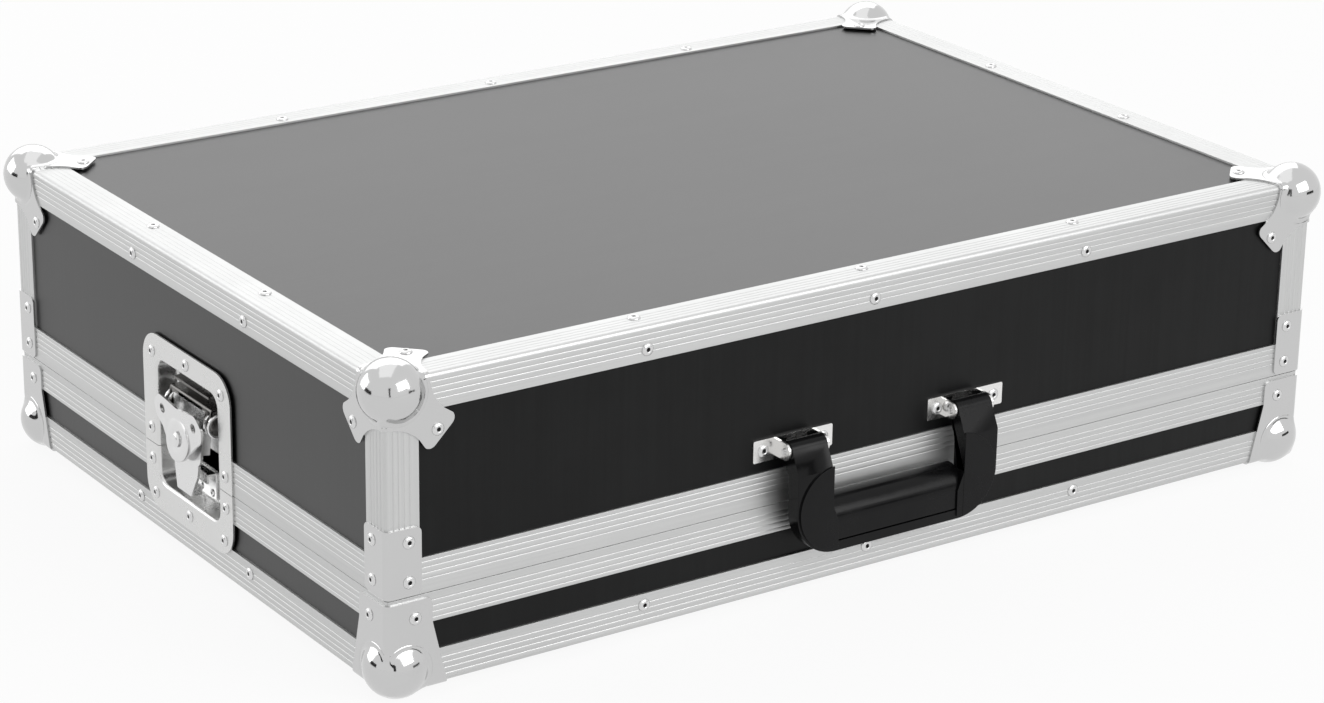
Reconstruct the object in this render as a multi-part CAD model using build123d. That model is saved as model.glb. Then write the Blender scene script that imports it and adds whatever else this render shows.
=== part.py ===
from build123d import *
import os

# Flight case for guitar pedals: a shallow base tray, a deep lift-off lid, one drop handle
# on the front of the lid and a butterfly latch on each short side. Millimetres, +Z up.
# "Outer plane" means the outside face of the aluminium edge extrusions.

# Case outline, over the extrusions
case_w = 696.0
case_d = 479.0
case_h = 191.5
base_h = 58.5
stand_h = 7.1
seam_gap = 0.3
fit_gap = 0.3
run_gap = 0.05

# Plywood and foam
panel_t = 7.0
mat_t = 3.0
foam_top_t = 18.0
foam_wall_t = 6.0

# Edge angles
angle_leg = 22.0
angle_t = 1.6
corner_r = 3.0
groove_count = 4
groove_first = 5.2
groove_pitch = 3.6
groove_w = 0.9
groove_deep = 0.35

# Tongue-and-groove closing extrusions
base_band_h = 18.6
lid_band_h = 22.4
rim_inner_t = 1.4
base_web_t = 3.0
lid_web_t = 6.2
rim_inner_leg = 11.0
tongue_w = 2.6
tongue_h = 4.0
groove_side_gap = 0.5
groove_top_gap = 0.6

# Pressed steel corners
steel_t = 1.2
ball_r = 19.2
ball_inset = 9.3
lug_reach = 53.2
lug_half_w = 14.5
lug_edge_reach = 29.0
lug_arch_r = 27.2
lug_tip_r = 5.0
lug_rivet_at = 33.8
brace_leg = 23.8
brace_h = 42.0
brace_seat = 0.8
brace_tip_r = 4.0
brace_rivet_at = 14.2
brace_rivet_step = 24.6
foot_top_drop = 2.6
foot_leg_top = 29.5
foot_leg_low = 39.0
foot_flare_h = 40.0
foot_ball_r = 19.6
foot_ball_inset = 12.2
foot_rivet_at = 18.0
foot_rivet_up = 45.0
foot_rivet_under = 31.0

# Rivets
rivet_r = 4.0
rivet_top_r = 2.6
rivet_h = 1.4
small_rivet_r = 2.6
rivet_in = 14.8
long_rivet_count = 3
short_rivet_count = 2
rivet_pitch_long = 165.0
rivet_pitch_short = 144.0
rivet_shift_long = -7.4
rivet_shift_short = 3.0

# Recessed latch dish, heights over the extrusions' underside
dish_w = 114.0
dish_low = 16.0
dish_high = 133.0
dish_r = 18.0
mouth_w = 79.0
mouth_low = 35.0
mouth_high = 117.0
mouth_r = 8.0
dish_deep = 14.0
dish_taper = 8.0
dish_cut_gap = 1.5
window_half_w = 20.0
window_low = 56.5
window_high = 69.0

# Butterfly latch, worked out in the shut position
pivot_in = 6.0
pivot_up = 93.0
pivot_r = 2.0
ear_r = 7.5
arm_cheek_r = 4.8
ear_half_w = 22.6
ear_t = 1.6
bracket_head = 10.2
pin_head_t = 1.2
cheek_gap = 0.8
arm_t = 1.6
arm_out = 4.5
arm_top = 7.0
arm_low = 30.0
hook_t = 1.6
hook_gap = 0.2
hook_top = 8.0
hook_low = 51.2
hook_half_w = 15.0
hook_tip_half_w = 9.0
hook_tongue_in = 3.6
hook_neck_h = 14.0
hook_round_r = 3.0
hook_tongue_clear = 0.5
hook_tongue_top = 45.0
key_down = 16.5
key_shaft_r = 4.0
key_hub_r = 8.0
key_lift = 9.5
key_t = 1.6
disc_r = 14.0
disc_h = 2.4
wing_root = (4.0, 6.0)
wing_top = (14.0, 22.0)
wing_shoulder = (25.0, 20.0)
wing_tip = (28.0, 9.0)
wing_heel = (14.0, -6.0)
wing_round_r = 4.5
wing_hole = (20.5, 13.5)
wing_hole_r = 3.0
cam_r = 5.0
draw_travel = 3.7
rest_tilt = 7.0
spring_turns = 3
spring_wire_r = 0.6
keeper_half_w = 12.0
keeper_t = 1.5
keeper_low = 37.5
keeper_top = 55.6
keeper_lip_low = 49.5
keeper_lip_in = 5.2
keeper_rivet_half = 7.3
keeper_rivet_up = 41.0

# Drop handle on the lid's front
grip_half_w = 50.0
arm_w = 26.0
handle_pin_up = 95.0
handle_pin_out = 7.5
handle_pin_r = 2.0
handle_boss_r = 6.2
handle_crank_up = 82.0
handle_crank_drop = 3.0
handle_low = 28.0
handle_face_out = 20.5
handle_back_out = 10.5
handle_round_r = 29.0
handle_band_t = 6.0
handle_pad_h = 1.2
grip_h = 31.0
grip_face_out = 20.0
grip_back_out = 3.0
grip_r = 8.0
grip_wall = 2.6
grip_slot = 12.0
plate_w = 58.5
plate_h = 14.3
plate_t = 1.5
plate_x = 65.75
plate_rivet_half = 22.0
ear_side_gap = 0.5
ear_tab_r = 5.5
ear_slot_w = 6.0

# Levels and inner faces
low_z = stand_h
top_z = low_z + case_h
seam_z = low_z + base_h
skin = angle_t
wall_in = skin + panel_t
lid_seat_z = seam_z + seam_gap
panel_w = case_w - 2 * skin
panel_d = case_d - 2 * skin
inner_w = case_w - 2 * wall_in
inner_d = case_d - 2 * wall_in
base_floor_z = low_z + wall_in
base_wall_top = seam_z - base_web_t
lid_wall_low = lid_seat_z + lid_web_t
lid_wall_top = top_z - wall_in
rim_in = wall_in + rim_inner_t
far = 400.0

# The row's origin is the middle of the outer box, and the handle stands out in front
ball_out = ball_r - ball_inset
handle_reach = handle_face_out + handle_pad_h
case_y = (handle_reach - ball_out) / 2

sides = {"front": 0, "right": 90, "back": 180, "left": 270}
corner_turns = [0, 90, 180, 270]


def side_size(side):
    """Length of a side, and the distance from the case's middle to its outer plane."""
    if side in ("front", "back"):
        return case_w, case_d / 2
    return case_d, case_w / 2


def box(x0, x1, y0, y1, z0, z1):
    return Pos((x0 + x1) / 2, (y0 + y1) / 2, (z0 + z1) / 2) * Box(x1 - x0, y1 - y0, z1 - z0)


def on_side(shape, side):
    """Take a shape drawn on a front face, outer plane at y = 0 and inside at +y, to a side."""
    length, reach = side_size(side)
    return Rot(0, 0, sides[side]) * (Pos(0, -reach, 0) * shape)


def on_corner(shape, turn):
    """Take a shape drawn about the front left vertical edge, inside at +x +y, to a corner."""
    half_w, half_d = case_w / 2, case_d / 2
    if turn in (90, 270):
        half_w, half_d = half_d, half_w
    return Rot(0, 0, turn) * (Pos(-half_w, -half_d, 0) * shape)


def put_out(name, shape):
    shape = Pos(0, case_y, 0) * shape
    shape.label = name
    export_step(shape, "parts/" + name + ".step")


def group(solids):
    flat = []
    for item in solids:
        flat += item.solids()
    return Compound(flat)


# ---------------------------------------------------------------- edge extrusions


def grooves(start, count):
    """V grooves along +X of a plane whose outer face is y = 0 and whose metal is at +y."""
    cut = Sketch()
    for i in range(count):
        at = start + i * groove_pitch
        half = groove_w / 2
        cut += make_face(Polyline((at - half, 0), (at, groove_deep), (at + half, 0), close=True))
    return cut


def angle_section():
    """L section, outer corner at the origin and legs along +X and +Y."""
    sec = Pos(angle_leg / 2, angle_leg / 2) * Rectangle(angle_leg, angle_leg)
    sec -= Pos(angle_leg / 2 + angle_t, angle_leg / 2 + angle_t) * Rectangle(angle_leg, angle_leg)
    sec = fillet(sec.vertices().sort_by(lambda v: v.X + v.Y)[0], corner_r)
    row = grooves(groove_first, groove_count)
    return sec - row - mirror(row, Plane(origin=(0, 0, 0), z_dir=(1, -1, 0)))


def rim_section(lid):
    """Closing section. X runs inward from the outer plane, Y up from the seam."""
    if lid:
        sec = Pos(skin / 2, (seam_gap + lid_band_h) / 2) * Rectangle(skin, lid_band_h - seam_gap)
        web_top = seam_gap + lid_web_t
        sec += Pos(rim_in / 2, seam_gap + lid_web_t / 2) * Rectangle(rim_in, lid_web_t)
        leg_h = web_top + rim_inner_leg - seam_gap
        sec += Pos(rim_in - rim_inner_t / 2, seam_gap + leg_h / 2) * Rectangle(rim_inner_t, leg_h)
        slot_w = tongue_w + 2 * groove_side_gap
        slot_h = tongue_h + groove_top_gap
        sec -= Pos(rim_in / 2, slot_h / 2) * Rectangle(slot_w, slot_h)
        cut_at = lid_band_h - groove_first / 2 - (groove_count - 1) * groove_pitch
    else:
        sec = Pos(skin / 2, -base_band_h / 2) * Rectangle(skin, base_band_h)
        sec += Pos(rim_in / 2, -base_web_t / 2) * Rectangle(rim_in, base_web_t)
        leg_h = base_web_t + rim_inner_leg
        sec += Pos(rim_in - rim_inner_t / 2, -leg_h / 2) * Rectangle(rim_inner_t, leg_h)
        sec += Pos(rim_in / 2, tongue_h / 2) * Rectangle(tongue_w, tongue_h)
        cut_at = -base_band_h + groove_first / 2
    for i in range(groove_count):
        at = cut_at + i * groove_pitch
        half = groove_w / 2
        sec -= make_face(Polyline((0, at - half), (groove_deep, at), (0, at + half), close=True))
    return sec


def mitre_cutter(side):
    """Plan of what a bar loses at its right end: beyond the mitre, and outside the rounded corner."""
    length, reach = side_size(side)
    half = length / 2
    deep = 2 * angle_leg
    beyond = Polyline((half + 1, -reach - 1), (half + deep, -reach - 1), (half + deep, deep - reach),
                      (half - deep, deep - reach), close=True)
    r = corner_r
    nub = Pos(half - r / 2 + 1, r / 2 - reach - 1) * Rectangle(r + 2, r + 2)
    nub -= Pos(half - r, r - reach) * Circle(r)
    nub &= Pos(half, -reach) * Rectangle(2 * r, 2 * r)
    return make_face(beyond) + nub


def edge_bar(section, side, z):
    """Run a section drawn as X inward, Y up along one side, with mitred ends."""
    length, reach = side_size(side)
    lay = Plane(origin=(-length / 2, -reach, z), x_dir=(0, 1, 0), z_dir=(1, 0, 0))
    bar = extrude(lay * section, length, dir=(1, 0, 0))
    cutter = Pos(0, 0, z - 2 * angle_leg) * extrude(mitre_cutter(side), 4 * angle_leg)
    bar = bar - cutter - mirror(cutter, Plane.YZ)
    return Rot(0, 0, sides[side]) * bar


def foot_relief():
    """What the case loses at a bottom vertex, so that it fits inside the foot's ball."""
    s = foot_ball_inset
    nub = box(-1, s, -1, s, -1, s)
    nub -= Pos(s, s, s) * Sphere(foot_ball_r - steel_t - fit_gap)
    return Pos(0, 0, low_z) * nub


def relieve(shape):
    for turn in corner_turns:
        shape -= on_corner(foot_relief(), turn)
    return shape


def latch_hole():
    """Hole through wall and rim that a dish drops into."""
    half = mouth_w / 2 + steel_t + dish_cut_gap
    low = low_z + mouth_low - steel_t - dish_cut_gap
    high = low_z + mouth_high + steel_t + dish_cut_gap
    return box(-half, half, -1, rim_in + 1, low, high)


def base_angle(side):
    return relieve(edge_bar(angle_section(), side, low_z))


def lid_angle(side):
    section = mirror(angle_section(), Plane.XZ)
    return edge_bar(section, side, top_z)


def rim(side, lid):
    bar = edge_bar(rim_section(lid), side, seam_z)
    if side in ("left", "right"):
        bar -= on_side(latch_hole(), side)
    return bar


def lid_post():
    low = seam_z + lid_band_h
    return Pos(0, 0, low) * extrude(angle_section(), top_z - angle_leg - low)


# ---------------------------------------------------------------- panels and lining


def wall_panel(side, low, high):
    """Front and back walls run the full width, and the short walls stand between them."""
    length, reach = side_size(side)
    half = length / 2 - skin
    if side in ("left", "right"):
        half -= panel_t
    wall = on_side(box(-half, half, skin, wall_in, low, high), side)
    if side in ("left", "right"):
        wall -= on_side(latch_hole(), side)
    return wall


def base_wall(side):
    return relieve(wall_panel(side, base_floor_z, base_wall_top))


def base_bottom():
    half_w, half_d = panel_w / 2, panel_d / 2
    return relieve(box(-half_w, half_w, -half_d, half_d, low_z + skin, base_floor_z))


def lid_top():
    half_w, half_d = panel_w / 2, panel_d / 2
    return box(-half_w, half_w, -half_d, half_d, lid_wall_top, top_z - skin)


def loop_mat():
    half_w, half_d = inner_w / 2 - fit_gap, inner_d / 2 - fit_gap
    low = base_floor_z + fit_gap
    return box(-half_w, half_w, -half_d, half_d, low, low + mat_t)


def dish_back_room():
    """Room in the wall foam for the back of a latch dish."""
    half = mouth_w / 2 + steel_t + dish_cut_gap
    return box(-half, half, 0, far / 10, seam_z, low_z + mouth_high + steel_t + dish_cut_gap)


def lid_top_foam():
    half_w, half_d = inner_w / 2 - fit_gap, inner_d / 2 - fit_gap
    high = lid_wall_top - fit_gap
    return box(-half_w, half_w, -half_d, half_d, high - foam_top_t, high)


def lid_wall_foam():
    low = lid_seat_z + lid_web_t + rim_inner_leg + fit_gap
    high = lid_wall_top - 2 * fit_gap - foam_top_t
    pads = []
    for side in sides:
        length, reach = side_size(side)
        half = length / 2 - wall_in - fit_gap
        if side in ("left", "right"):
            half -= foam_wall_t + fit_gap
        near = wall_in + fit_gap
        pad = box(-half, half, near, near + foam_wall_t, low, high)
        if side in ("left", "right"):
            pad -= dish_back_room()
        pads.append(on_side(pad, side))
    return group(pads)


# ---------------------------------------------------------------- pressed corners


def lug_outline():
    """One lug in its face, the case's edges along +X and +Y from the origin."""
    tip = lug_reach * 2**0.5
    wide = lug_half_w * 2**0.5
    a = ((tip + wide) / 2, (tip - wide) / 2)
    b = (a[1], a[0])
    e = lug_edge_reach
    t = steel_t
    lines = [
        Line((-t, -t), (e, -t)),
        Line((e, -t), (e, 0)),
        RadiusArc((e, 0), a, lug_arch_r),
        Line(a, b),
        RadiusArc(b, (0, e), lug_arch_r),
        Line((0, e), (-t, e)),
        Line((-t, e), (-t, -t)),
    ]
    face = make_face(Curve() + lines)
    tips = [v for v in face.vertices() if v.X + v.Y > tip - 1]
    return fillet(tips, lug_tip_r)


def sheet_box(reach, height, out):
    """Box about a vertex at the origin, standing out by `out`, with its three edges rounded."""
    solid = box(-out, reach, -out, reach, -out, height)
    edges = [
        e
        for e in solid.edges()
        if sum(abs(c + out) < 0.01 for c in (e.center().X, e.center().Y, e.center().Z)) == 2
    ]
    return fillet(edges, corner_r + out)


def ball_corner():
    """Top corner: a hollow ball at the vertex and a riveted lug on each face."""
    reach = lug_reach + steel_t
    skin_box = sheet_box(reach, reach, steel_t) - sheet_box(2 * reach, 2 * reach, 0)
    lug = extrude(lug_outline(), reach, both=True)
    keep = skin_box & lug & box(-far, far, -far, far, -far, 0)
    turned = Plane(origin=(0, 0, 0), x_dir=(0, 1, 0), z_dir=(1, 0, 0))
    keep += skin_box & extrude(turned * lug_outline(), reach, both=True) & box(-far, 0, -far, far, -far, far)
    turned = Plane(origin=(0, 0, 0), x_dir=(0, 0, 1), z_dir=(0, 1, 0))
    keep += skin_box & extrude(turned * lug_outline(), reach, both=True) & box(-far, far, -far, 0, -far, far)
    centre = Pos(ball_inset, ball_inset, ball_inset)
    inner = box(0, far, 0, far, 0, far)
    keep += centre * Sphere(ball_r) - inner
    keep -= centre * Sphere(ball_r - steel_t)
    return Pos(0, 0, top_z) * mirror(keep, Plane.XY)


def lid_brace():
    """Bent plate over the post and rim at a lid's lower corner."""
    low = lid_seat_z + brace_seat
    out = steel_t
    plan = Pos(brace_leg / 2 - out, brace_leg / 2 - out) * Rectangle(brace_leg, brace_leg)
    plan = fillet(plan.vertices().sort_by(lambda v: v.X + v.Y)[0], corner_r + out)
    hole = Pos(far / 2, far / 2) * Rectangle(far, far)
    hole = fillet(hole.vertices().sort_by(lambda v: v.X + v.Y)[0], corner_r)
    plate = Pos(0, 0, low) * extrude(plan - hole, brace_h)
    tips = [e for e in plate.edges().filter_by(GeomType.LINE) if abs(e.length - steel_t) < 0.01]
    tips = [e for e in tips if max(e.center().X, e.center().Y) > brace_leg - 2 * out]
    return fillet(tips, brace_tip_r)


def beyond(inset):
    """Everything more than `inset` in from a face, along any axis."""
    room = box(inset, far, -far, far, -far, far)
    room += box(-far, far, inset, far, -far, far)
    return room + box(-far, far, -far, far, inset, far)


def foot_block(reach, height, out):
    """A sheet box whose vertex is cut back to the ball."""
    s = foot_ball_inset
    ball = Pos(s, s, s) * Sphere(foot_ball_r - steel_t + out)
    return sheet_box(reach, height, out) & (ball + beyond(s))


def foot_corner():
    """Base corner: three flared legs round the vertex and a ball that the case stands on."""
    s = foot_ball_inset
    foot = foot_block(foot_leg_low, base_h - foot_top_drop, steel_t)
    foot += Pos(s, s, s) * Sphere(foot_ball_r) & box(-far, far, -far, far, -stand_h, far)
    foot -= foot_block(far, far, 0)
    foot -= Pos(s, s, s) * Sphere(foot_ball_r - steel_t)
    flare = Polyline((-far, -far), (foot_leg_low, -far), (foot_leg_low, 0), (foot_leg_top, foot_flare_h),
                     (foot_leg_top, far), (-far, far), close=True)
    flare = make_face(flare)
    foot &= extrude(Plane.XZ * flare, far, both=True)
    foot &= extrude(Plane(origin=(0, 0, 0), x_dir=(0, 1, 0), z_dir=(1, 0, 0)) * flare, far, both=True)
    return Pos(0, 0, low_z) * foot


# ---------------------------------------------------------------- rivets


def rivet(r=rivet_r):
    """Head of a blind rivet, flat back at the origin and dome towards -Y."""
    top = rivet_top_r * r / rivet_r
    head = Cone(r, top, rivet_h, align=(Align.CENTER, Align.CENTER, Align.MIN))
    return Rot(90, 0, 0) * head


def edge_rivets(z_side, z_flat, up):
    """Rivets through both legs of the four edge angles, `up` is +1 on top and -1 below."""
    heads = []
    for side in sides:
        count, pitch, shift = short_rivet_count, rivet_pitch_short, rivet_shift_short
        if side in ("front", "back"):
            count, pitch, shift = long_rivet_count, rivet_pitch_long, rivet_shift_long
        for i in range(count):
            x = shift + (i - (count - 1) / 2) * pitch
            heads.append(on_side(Pos(x, 0, z_side) * rivet(), side))
            flat = Pos(x, rivet_in, z_flat) * (Rot(-90 * up, 0, 0) * rivet())
            heads.append(on_side(flat, side))
    return heads


def corner_heads(places):
    """Rivets on both vertical faces of each corner, from (distance, height, out) places."""
    heads = []
    for turn in corner_turns:
        for along, z, out in places:
            heads.append(on_corner(Pos(along, -out, z) * rivet(), turn))
            heads.append(on_corner(Pos(-out, along, z) * (Rot(0, 0, -90) * rivet()), turn))
    return heads


def flat_heads(inset, z, up):
    """One upright rivet on each corner's diagonal."""
    head = Pos(inset, inset, z) * (Rot(-90 * up, 0, 0) * rivet())
    return [on_corner(head, turn) for turn in corner_turns]


def dish_heads(low, high):
    """The ten rivets round a dish's flange that lie between two heights."""
    half_flange = (dish_w + mouth_w) / 4
    side_in = dish_r * 0.35
    places = [(0, dish_high - (dish_high - mouth_high) / 2), (0, dish_low + (mouth_low - dish_low) / 2)]
    for s in (-1, 1):
        places.append((s * (half_flange - side_in / 2), dish_high - dish_r * 0.7))
        places.append((s * (half_flange - side_in / 2), dish_low + dish_r * 0.55))
        places.append((s * half_flange, base_h + 0.7 * rivet_in))
        places.append((s * half_flange, base_h - 0.7 * rivet_in))
    heads = []
    for side in ("left", "right"):
        for x, up in places:
            if low < up < high:
                heads.append(on_side(Pos(x, -steel_t, low_z + up) * rivet(), side))
    return heads


def base_rivets():
    heads = edge_rivets(low_z + rivet_in, low_z, -1)
    heads += corner_heads([(foot_rivet_at, low_z + foot_rivet_up, steel_t)])
    heads += flat_heads(foot_rivet_under, low_z - steel_t, -1)
    heads += dish_heads(0, base_h)
    floor_y = dish_deep - steel_t - keeper_t
    for side in ("left", "right"):
        for x in (-keeper_rivet_half, keeper_rivet_half):
            head = Pos(x, floor_y, low_z + keeper_rivet_up) * rivet(small_rivet_r)
            heads.append(on_side(head, side))
    return group(heads)


def lid_rivets():
    heads = edge_rivets(top_z - rivet_in, top_z, 1)
    low = lid_seat_z + brace_seat + (brace_h - brace_rivet_step) / 2
    heads += corner_heads(
        [
            (lug_rivet_at, top_z - lug_rivet_at, steel_t),
            (brace_rivet_at, low, steel_t),
            (brace_rivet_at, low + brace_rivet_step, steel_t),
        ]
    )
    heads += flat_heads(lug_rivet_at, top_z + steel_t, 1)
    heads += dish_heads(base_h, case_h)
    for x in (-plate_x, plate_x):
        for along in (-plate_rivet_half, plate_rivet_half):
            head = Pos(x + along, skin - plate_t, low_z + handle_pin_up) * rivet()
            heads.append(on_side(head, "front"))
    return group(heads)


# ---------------------------------------------------------------- latch dishes


def upright(sketch, y):
    """Stand a sketch of x and height up at depth y, extruded towards +Y."""
    return Plane(origin=(0, y, low_z), x_dir=(1, 0, 0), z_dir=(0, -1, 0)) * sketch


def mouth_outline(grow):
    high, low = mouth_high + grow, mouth_low - grow
    return Pos(0, (high + low) / 2) * RectangleRounded(mouth_w + 2 * grow, high - low, mouth_r + grow)


def whole_dish():
    """Pressed dish with a flat flange, standing on the outer plane."""
    flange = Pos(0, (dish_high + dish_low) / 2) * RectangleRounded(dish_w, dish_high - dish_low, dish_r)
    dish = extrude(upright(flange, 0), steel_t)
    dish += extrude(upright(mouth_outline(steel_t), 0), -(dish_deep - steel_t) - steel_t, taper=dish_taper)
    dish -= extrude(upright(mouth_outline(0), -steel_t), -dish_deep, taper=dish_taper)
    window = Pos(0, (window_low + window_high) / 2) * Rectangle(2 * window_half_w, window_high - window_low)
    return dish - extrude(upright(window, 0), -2 * dish_deep)


def lid_dish():
    return whole_dish() & box(-far, far, -far, far, lid_seat_z, far)


def base_dish():
    return whole_dish() & box(-far, far, -far, far, -far, seam_z)


def keeper():
    """Catch plate on the base dish, with a lip turned down for the hook."""
    back = dish_deep - steel_t
    plate = [(back, keeper_low), (back, keeper_top), (keeper_lip_in, keeper_top)]
    plate += [(keeper_lip_in, keeper_lip_low), (keeper_lip_in + keeper_t, keeper_lip_low)]
    plate += [(keeper_lip_in + keeper_t, keeper_top - keeper_t), (back - keeper_t, keeper_top - keeper_t)]
    plate += [(back - keeper_t, keeper_low)]
    section = make_face(Polyline(*plate, close=True))
    section = fillet(section.vertices().group_by(Axis.Y)[-1], keeper_t)
    lay = Plane(origin=(0, 0, low_z), x_dir=(0, 1, 0), z_dir=(1, 0, 0))
    return extrude(lay * section, keeper_half_w, both=True)


# ---------------------------------------------------------------- latch mechanism


def side_section(face, half, centre=0.0):
    """Extrude a sketch of (depth y, height) to both sides of x = centre."""
    lay = Plane(origin=(centre, 0, low_z), x_dir=(0, 1, 0), z_dir=(1, 0, 0))
    return extrude(lay * face, half, both=True)


def cross_pin(radius, half, y, up):
    return Pos(0, y, low_z + up) * (Rot(0, 90, 0) * Cylinder(radius, 2 * half))


def pivot_bracket():
    """Box-shaped carrier on the dish floor: base plate, roof and two round ears."""
    floor_y = dish_deep - steel_t
    base_y = floor_y - ear_t
    roof_up = pivot_up + ear_r + bracket_head
    half = ear_half_w
    solid = box(-half, half, base_y, floor_y, low_z + pivot_up - ear_r, low_z + roof_up)
    roof_out = pivot_in - ear_r / 2
    solid += box(-half, half, roof_out, floor_y, low_z + roof_up - ear_t, low_z + roof_up)
    ear = Pos(pivot_in, pivot_up) * Circle(ear_r)
    ear += Pos((pivot_in + floor_y) / 2, pivot_up) * Rectangle(floor_y - pivot_in, 2 * ear_r)
    for s in (-1, 1):
        solid += side_section(ear, ear_t / 2, s * (half - ear_t / 2))
    solid &= box(-far, far, -far, floor_y, -far, far)
    return solid - cross_pin(pivot_r + run_gap, far, pivot_in, pivot_up)


def pivot_pin():
    head = pin_head_t
    pin = cross_pin(pivot_r, ear_half_w + head, pivot_in, pivot_up)
    for s in (-1, 1):
        cap = Rot(0, 90, 0) * Cylinder(pivot_r * 1.7, head)
        pin += Pos(s * (ear_half_w + head / 2), pivot_in, low_z + pivot_up) * cap
    return pin


def torsion_spring():
    """Close coil round the pin behind the arm."""
    mean_r = pivot_r + 2 * run_gap + spring_wire_r
    pitch = 2 * spring_wire_r + 0.1
    path = Helix(pitch=pitch, height=pitch * spring_turns, radius=mean_r)
    wire = Plane(origin=path @ 0, z_dir=path % 0) * Circle(spring_wire_r)
    coil = sweep(wire, path=path, is_frenet=True)
    coil = Pos(-pitch * spring_turns / 2, 0, 0) * (Rot(0, 90, 0) * coil)
    return Pos(0, pivot_in, low_z + pivot_up) * coil


def latch_arm():
    """Swinging carrier: face plate and two cheeks on the pivot pin."""
    half = ear_half_w - ear_t - cheek_gap
    face_in = pivot_in - arm_out
    low = low_z + pivot_up - arm_low
    arm = box(-half, half, face_in - arm_t, face_in, low, low_z + pivot_up + arm_top)
    lower = [e for e in arm.edges().filter_by(Axis.Y) if e.center().Z < low + 1]
    arm = fillet(lower, 6.0)
    cheek = Pos(pivot_in, pivot_up) * Circle(arm_cheek_r)
    drop = arm_low * 0.7
    cheek += Pos((pivot_in + face_in) / 2, pivot_up - drop / 2) * Rectangle(pivot_in - face_in, drop)
    for s in (-1, 1):
        arm += side_section(cheek, arm_t / 2, s * (half - arm_t / 2))
    room = pivot_r + 2 * spring_wire_r + 3 * run_gap + 0.2
    arm -= box(-half + arm_t, half - arm_t, face_in, far, low_z, far)
    arm -= cross_pin(room, half - arm_t, pivot_in, pivot_up)
    arm -= cross_pin(pivot_r + run_gap, far, pivot_in, pivot_up)
    shaft = Rot(90, 0, 0) * Cylinder(key_shaft_r + run_gap, far)
    return arm - Pos(0, 0, low_z + pivot_up - key_down) * shaft


def latch_hook():
    """Sliding draw plate, drawn let down by its whole travel, with a cam slot and a J tip."""
    face = pivot_in - arm_out + hook_gap
    top, low = pivot_up - hook_top, pivot_up - hook_low
    w, tip = hook_half_w, hook_tip_half_w
    neck = low + hook_neck_h
    outline = make_face(Polyline((-w, top), (-w, neck), (-tip, low), (tip, low), (w, neck), (w, top), close=True))
    outline = fillet([v for v in outline.vertices() if v.Y > low + 1], hook_round_r)
    hook = extrude(upright(outline, face), -hook_t)
    tongue_y = pivot_in + hook_tongue_in
    foot = [(face + hook_t, low), (tongue_y, low), (tongue_y, pivot_up - hook_tongue_top)]
    foot += [(tongue_y - hook_t, pivot_up - hook_tongue_top), (tongue_y - hook_t, low + hook_t)]
    foot += [(face + hook_t, low + hook_t)]
    section = make_face(Polyline(*foot, close=True))
    hook += side_section(section, tip - hook_tongue_clear)
    slot_half_w = cam_r + draw_travel / 2 + 0.6
    slot_half_h = cam_r + 0.8
    cam_up = low_z + pivot_up - key_down
    slot = box(
        -slot_half_w, slot_half_w, face - 1, face + hook_t + 1, cam_up - slot_half_h, cam_up + slot_half_h
    )
    lift = draw_travel / 2
    return hook - Pos(0, 0, -lift) * slot


def latch_key():
    """Butterfly key: a hub under a plate with two round-cornered wings."""
    face = pivot_in - key_lift
    up = pivot_up - key_down
    body = Pos(0, up) * Circle(disc_r - 1.0)
    for s in (-1, 1):
        corners = [(s * x, up + y) for x, y in (wing_root, wing_top, wing_shoulder, wing_tip, wing_heel)]
        wing = make_face(Polyline(*corners, close=True))
        wing = fillet(wing.vertices().sort_by(lambda v: abs(v.X))[-3:], wing_round_r)
        body += wing
        body -= Pos(s * wing_hole[0], up + wing_hole[1]) * Circle(wing_hole_r)
    key = extrude(upright(body, face), key_t)
    hub_len = key_lift - arm_out - arm_t - hook_gap
    hub = extrude(upright(Pos(0, up) * Circle(key_hub_r), face), -hub_len)
    bore = extrude(upright(Pos(0, up) * Circle(key_shaft_r + run_gap), 0), far, both=True)
    return key + hub - bore


def latch_disc():
    """Low dome over the key."""
    y = pivot_in - key_lift - key_t
    sag = disc_h
    radius = (disc_r**2 + sag**2) / (2 * sag)
    cap = Pos(0, 0, sag - radius) * Sphere(radius) & box(-far, far, -far, far, 0, far)
    cap -= Cylinder(key_shaft_r + run_gap, far)
    return Pos(0, y, low_z + pivot_up - key_down) * (Rot(90, 0, 0) * cap)


def latch_spindle():
    """Spindle of the key: rivet head, shaft, eccentric cam in the hook's slot and a keeper washer."""
    up = low_z + pivot_up - key_down
    head_y = pivot_in - key_lift - key_t - disc_h
    cam_y = pivot_in - arm_out + hook_gap
    tail = cam_y + hook_t + hook_gap
    spindle = Pos(0, (head_y + cam_y) / 2, up) * (Rot(90, 0, 0) * Cylinder(key_shaft_r, cam_y - head_y))
    head = Cone(key_shaft_r * 1.2, key_shaft_r * 0.8, 1.2, align=(Align.CENTER, Align.CENTER, Align.MIN))
    spindle += Pos(0, head_y, up) * (Rot(90, 0, 0) * head)
    lift = draw_travel / 2
    cam = Pos(0, (cam_y + tail) / 2, up - lift) * (Rot(90, 0, 0) * Cylinder(cam_r, tail - cam_y))
    washer = Pos(0, tail + 0.5, up) * (Rot(90, 0, 0) * Cylinder(cam_r + draw_travel / 2 + 2.0, 1.0))
    return spindle + cam + washer


def tilted(shape):
    """Swing a latch piece out about the pivot pin to the rest position."""
    y, z = pivot_in, low_z + pivot_up
    return Pos(0, y, z) * (Rot(-rest_tilt, 0, 0) * (Pos(0, -y, -z) * shape))


# ---------------------------------------------------------------- handle


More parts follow.
